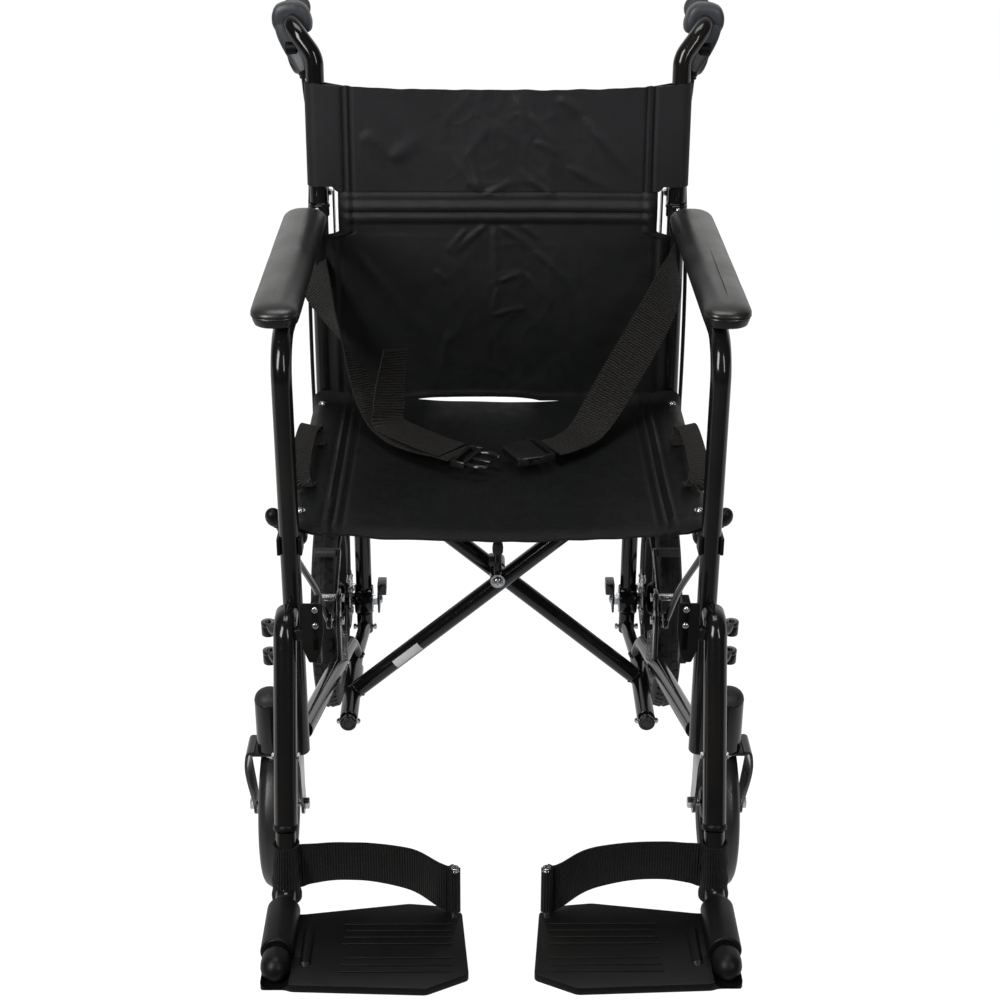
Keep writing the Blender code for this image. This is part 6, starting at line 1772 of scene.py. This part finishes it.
def lift_loop(tag, s, body):
    """Short webbing handle screwed on top of the seat edge, used to fold the chair."""
    x = s * (CANE_X + 0.0040)
    top = SEAT_Z + TUBE_R + CLOTH_T
    knots = [((x + s * out, y, top + high), (1, 0, s * tilt)) for out, y, high, tilt in (
        (-0.006, 0.0650, 0.0030, 0.0), (-0.005, 0.0860, 0.0032, 0.0), (-0.002, 0.1000, 0.0080, 0.1),
        (0.000, 0.0980, 0.0150, 0.2), (0.003, 0.0760, 0.0200, 0.3), (0.004, 0.0250, 0.0215, 0.3),
        (0.004, -0.0250, 0.0180, 0.3), (0.001, -0.0500, 0.0120, 0.2), (-0.004, -0.0580, 0.0060, 0.0),
        (-0.006, -0.0420, 0.0030, 0.0))]
    loop = assemble("lift_loop_" + tag, body, WEBBING, [ribbon(knots, 0.0230, 0.0024)], crease=60.0)


def heel_loop(tag, s):
    """Heel strap: a sleeve round the footrest tube and a band that bows back to the footplate's post."""
    z0, z1 = 0.1130, 0.1740
    middle_z = (z0 + z1) / 2
    rows = []
    for i in range(13):
        z = z0 + (z1 - z0) * i / 12
        centre = hanger_point(z) + Vector((s * HANGER_X, 0, 0))
        if z < TOE_Z + 0.020:
            centre.y = hanger_point(TOE_Z + 0.020).y - 0.0010
        slack = 0.0020 + 0.0022 * (1 - i / 12) ** 2 + 0.0006 * math.sin(i * 1.7)
        rows.append([centre + Vector((math.cos(math.tau * k / 40), math.sin(math.tau * k / 40),
                                      0)) * (TUBE_R + slack) for k in range(40)])
    points, faces, uvs = skin(rows, 0.0024, wrap=True)
    sleeve = (points, faces, [tuple((v, u) for u, v in face) for face in uvs])
    post_x, post_y = s * (plate_low.x + 0.008), -0.3400
    centre = hanger_point(middle_z)
    route = [(HANGER_X + 0.004, centre.y + 0.0150), (HANGER_X - 0.0140, centre.y + 0.0125),
             (0.2080, centre.y + 0.0145), (0.1750, centre.y + 0.0175), (0.1350, centre.y + 0.0140),
             (0.0950, centre.y + 0.0020), (0.0650, centre.y - 0.0230), (0.0545, post_y + 0.0020)]
    path = flowing([(s * a, b, 0) for a, b in route], 10)
    band = []
    total = len(path) - 1
    for i, p in enumerate(path):
        share = i / total
        wide = 0.5 * (z1 - z0) - 0.0012 - 0.0050 * math.sin(math.pi * min(1, share * 1.1)) ** 2
        mid = middle_z + 0.0035 * math.sin(math.pi * share) ** 2 - 0.0012 * share
        lean = 0.07 * math.sin(math.pi * share)
        ripple = 0.0006 * noise.noise(Vector((share * 12, s, 4.0)))
        band.append([Vector((p.x, p.y + lean * (h - 0.5) * 0.02 + ripple, mid + wide * (2 * h - 1)))
                     for h in (k / 12 for k in range(13))])
    turn_in = [[Vector((post_x + 0.0056 * math.cos(a) * s, post_y + 0.0056 * math.sin(a), q.z))
                for q in band[-1]] for a in (math.radians(80 - 20 * k) for k in range(14))]
    strap = skin(band, 0.0022)
    loop = skin(turn_in, 0.0016)
    piece = assemble("heel_strap_" + tag, None, STRAP, [strap, sleeve, loop], "heel_loop_" + tag,
                     crease=60.0)
    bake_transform(piece)


# ---------------------------------------------------------------- build everything
SIDES = (("right", -1), ("left", 1))

for side_name, side in SIDES:
    arm_frame(side_name, side)
    rear_post(side_name, side)
    side_rail(side_name, side)
    rail_body = "brace_front" if side > 0 else "brace_rear"
    seat_rail(side_name, side, rail_body)
    push_cane(side_name, side)
    back_hinge(side_name, side)
    handle(side_name, side)
    brake_lever(side_name, side)
    arm_pad(side_name, side)
    caster(side_name, side)
    rear_wheel(side_name, side)
    brake_cable(side_name, side, rear_brake(side_name, side))
    wheel_lock(side_name, side)
    hanger(side_name, side)
    footrest(side_name, side)
    heel_loop(side_name, side)
    lift_loop(side_name, side, rail_body)
cross_brace()
seat_sling()
back_upper()
back_lower()
belt_right()
belt_left()


# ---------------------------------------------------------------- studio
def area_light(name, at, target, size, energy):
    """Rectangular softbox aimed at a point."""
    data = bpy.data.lights.new(name, "AREA")
    data.shape = "RECTANGLE"
    data.size, data.size_y = size
    data.energy = energy
    obj = linked(name, data)
    obj.location = at
    obj.rotation_mode = "QUATERNION"
    obj.rotation_quaternion = (Vector(target) - Vector(at)).to_track_quat("-Z", "Y")


floor_mesh = bpy.data.meshes.new("floor")
floor_mesh.from_pydata([(-30, -30, 0), (30, -30, 0), (30, 30, 0), (-30, 30, 0)], [], [(0, 1, 2, 3)])
linked("floor", floor_mesh)
pale = finish("pale_floor", (0.16, 0.16, 0.16), 0.9, Emission_Color=(1, 1, 1, 1), Specular_IOR_Level=0.0)
depth = node(pale, "SeparateXYZ", {0: place_of(pale)}).outputs[1]
seen = node(pale, "LightPath").outputs["Is Camera Ray"]
lit = between(pale, depth, 0.0, 0.50, (-0.7, -0.3))
feed(pale, "Emission Strength", maths(pale, "MAXIMUM", lit, maths(pale, "MULTIPLY", seen, 0.98)))
floor_mesh.materials.append(pale)

world = bpy.data.worlds.new("studio")
world.use_nodes = True
bpy.context.scene.world = world
towards = node(world, "SeparateXYZ", {0: place_of(world, "Generated")}).outputs[1]
glow = between(world, towards, 0.04, 0.85, (0.30, 0.95))
glow = maths(world, "MAXIMUM", glow, node(world, "LightPath").outputs["Is Camera Ray"])
background = world.node_tree.nodes["Background"]
world.node_tree.links.new(glow, background.inputs["Strength"])
background.inputs["Color"].default_value = (1.0, 0.99, 0.98, 1)

area_light("overhead", (0.0, 0.2, 3.2), (0, 0, 0.4), (1.6, 1.0), 22)
area_light("key_left", (-1.45, -1.85, 2.15), (0, 0, 0.5), (0.85, 1.80), 58)
area_light("key_right", (1.30, -2.00, 1.85), (0, 0, 0.5), (0.30, 1.50), 14)
bpy.context.scene.view_settings.view_transform = "Standard"

# Camera at the photograph's place, from its position and yaw, pitch and roll
EYE = Vector((-0.0219, -1.896, 1.3415))
YAW, PITCH, ROLL = math.radians(-0.70), math.radians(25.19), math.radians(0.29)
forward = Vector((-math.sin(YAW) * math.cos(PITCH), math.cos(YAW) * math.cos(PITCH), -math.sin(PITCH)))
level = Vector((math.cos(YAW), math.sin(YAW), 0))
up = level.cross(forward)
right = level * math.cos(ROLL) + up * math.sin(ROLL)
top = up * math.cos(ROLL) - level * math.sin(ROLL)
lens = bpy.data.cameras.new("camera")
lens.lens, lens.sensor_width = 63.6, 36.0
camera = linked("camera", lens)
camera.matrix_world = placed(right, top, -forward, EYE)
bpy.context.scene.camera = camera
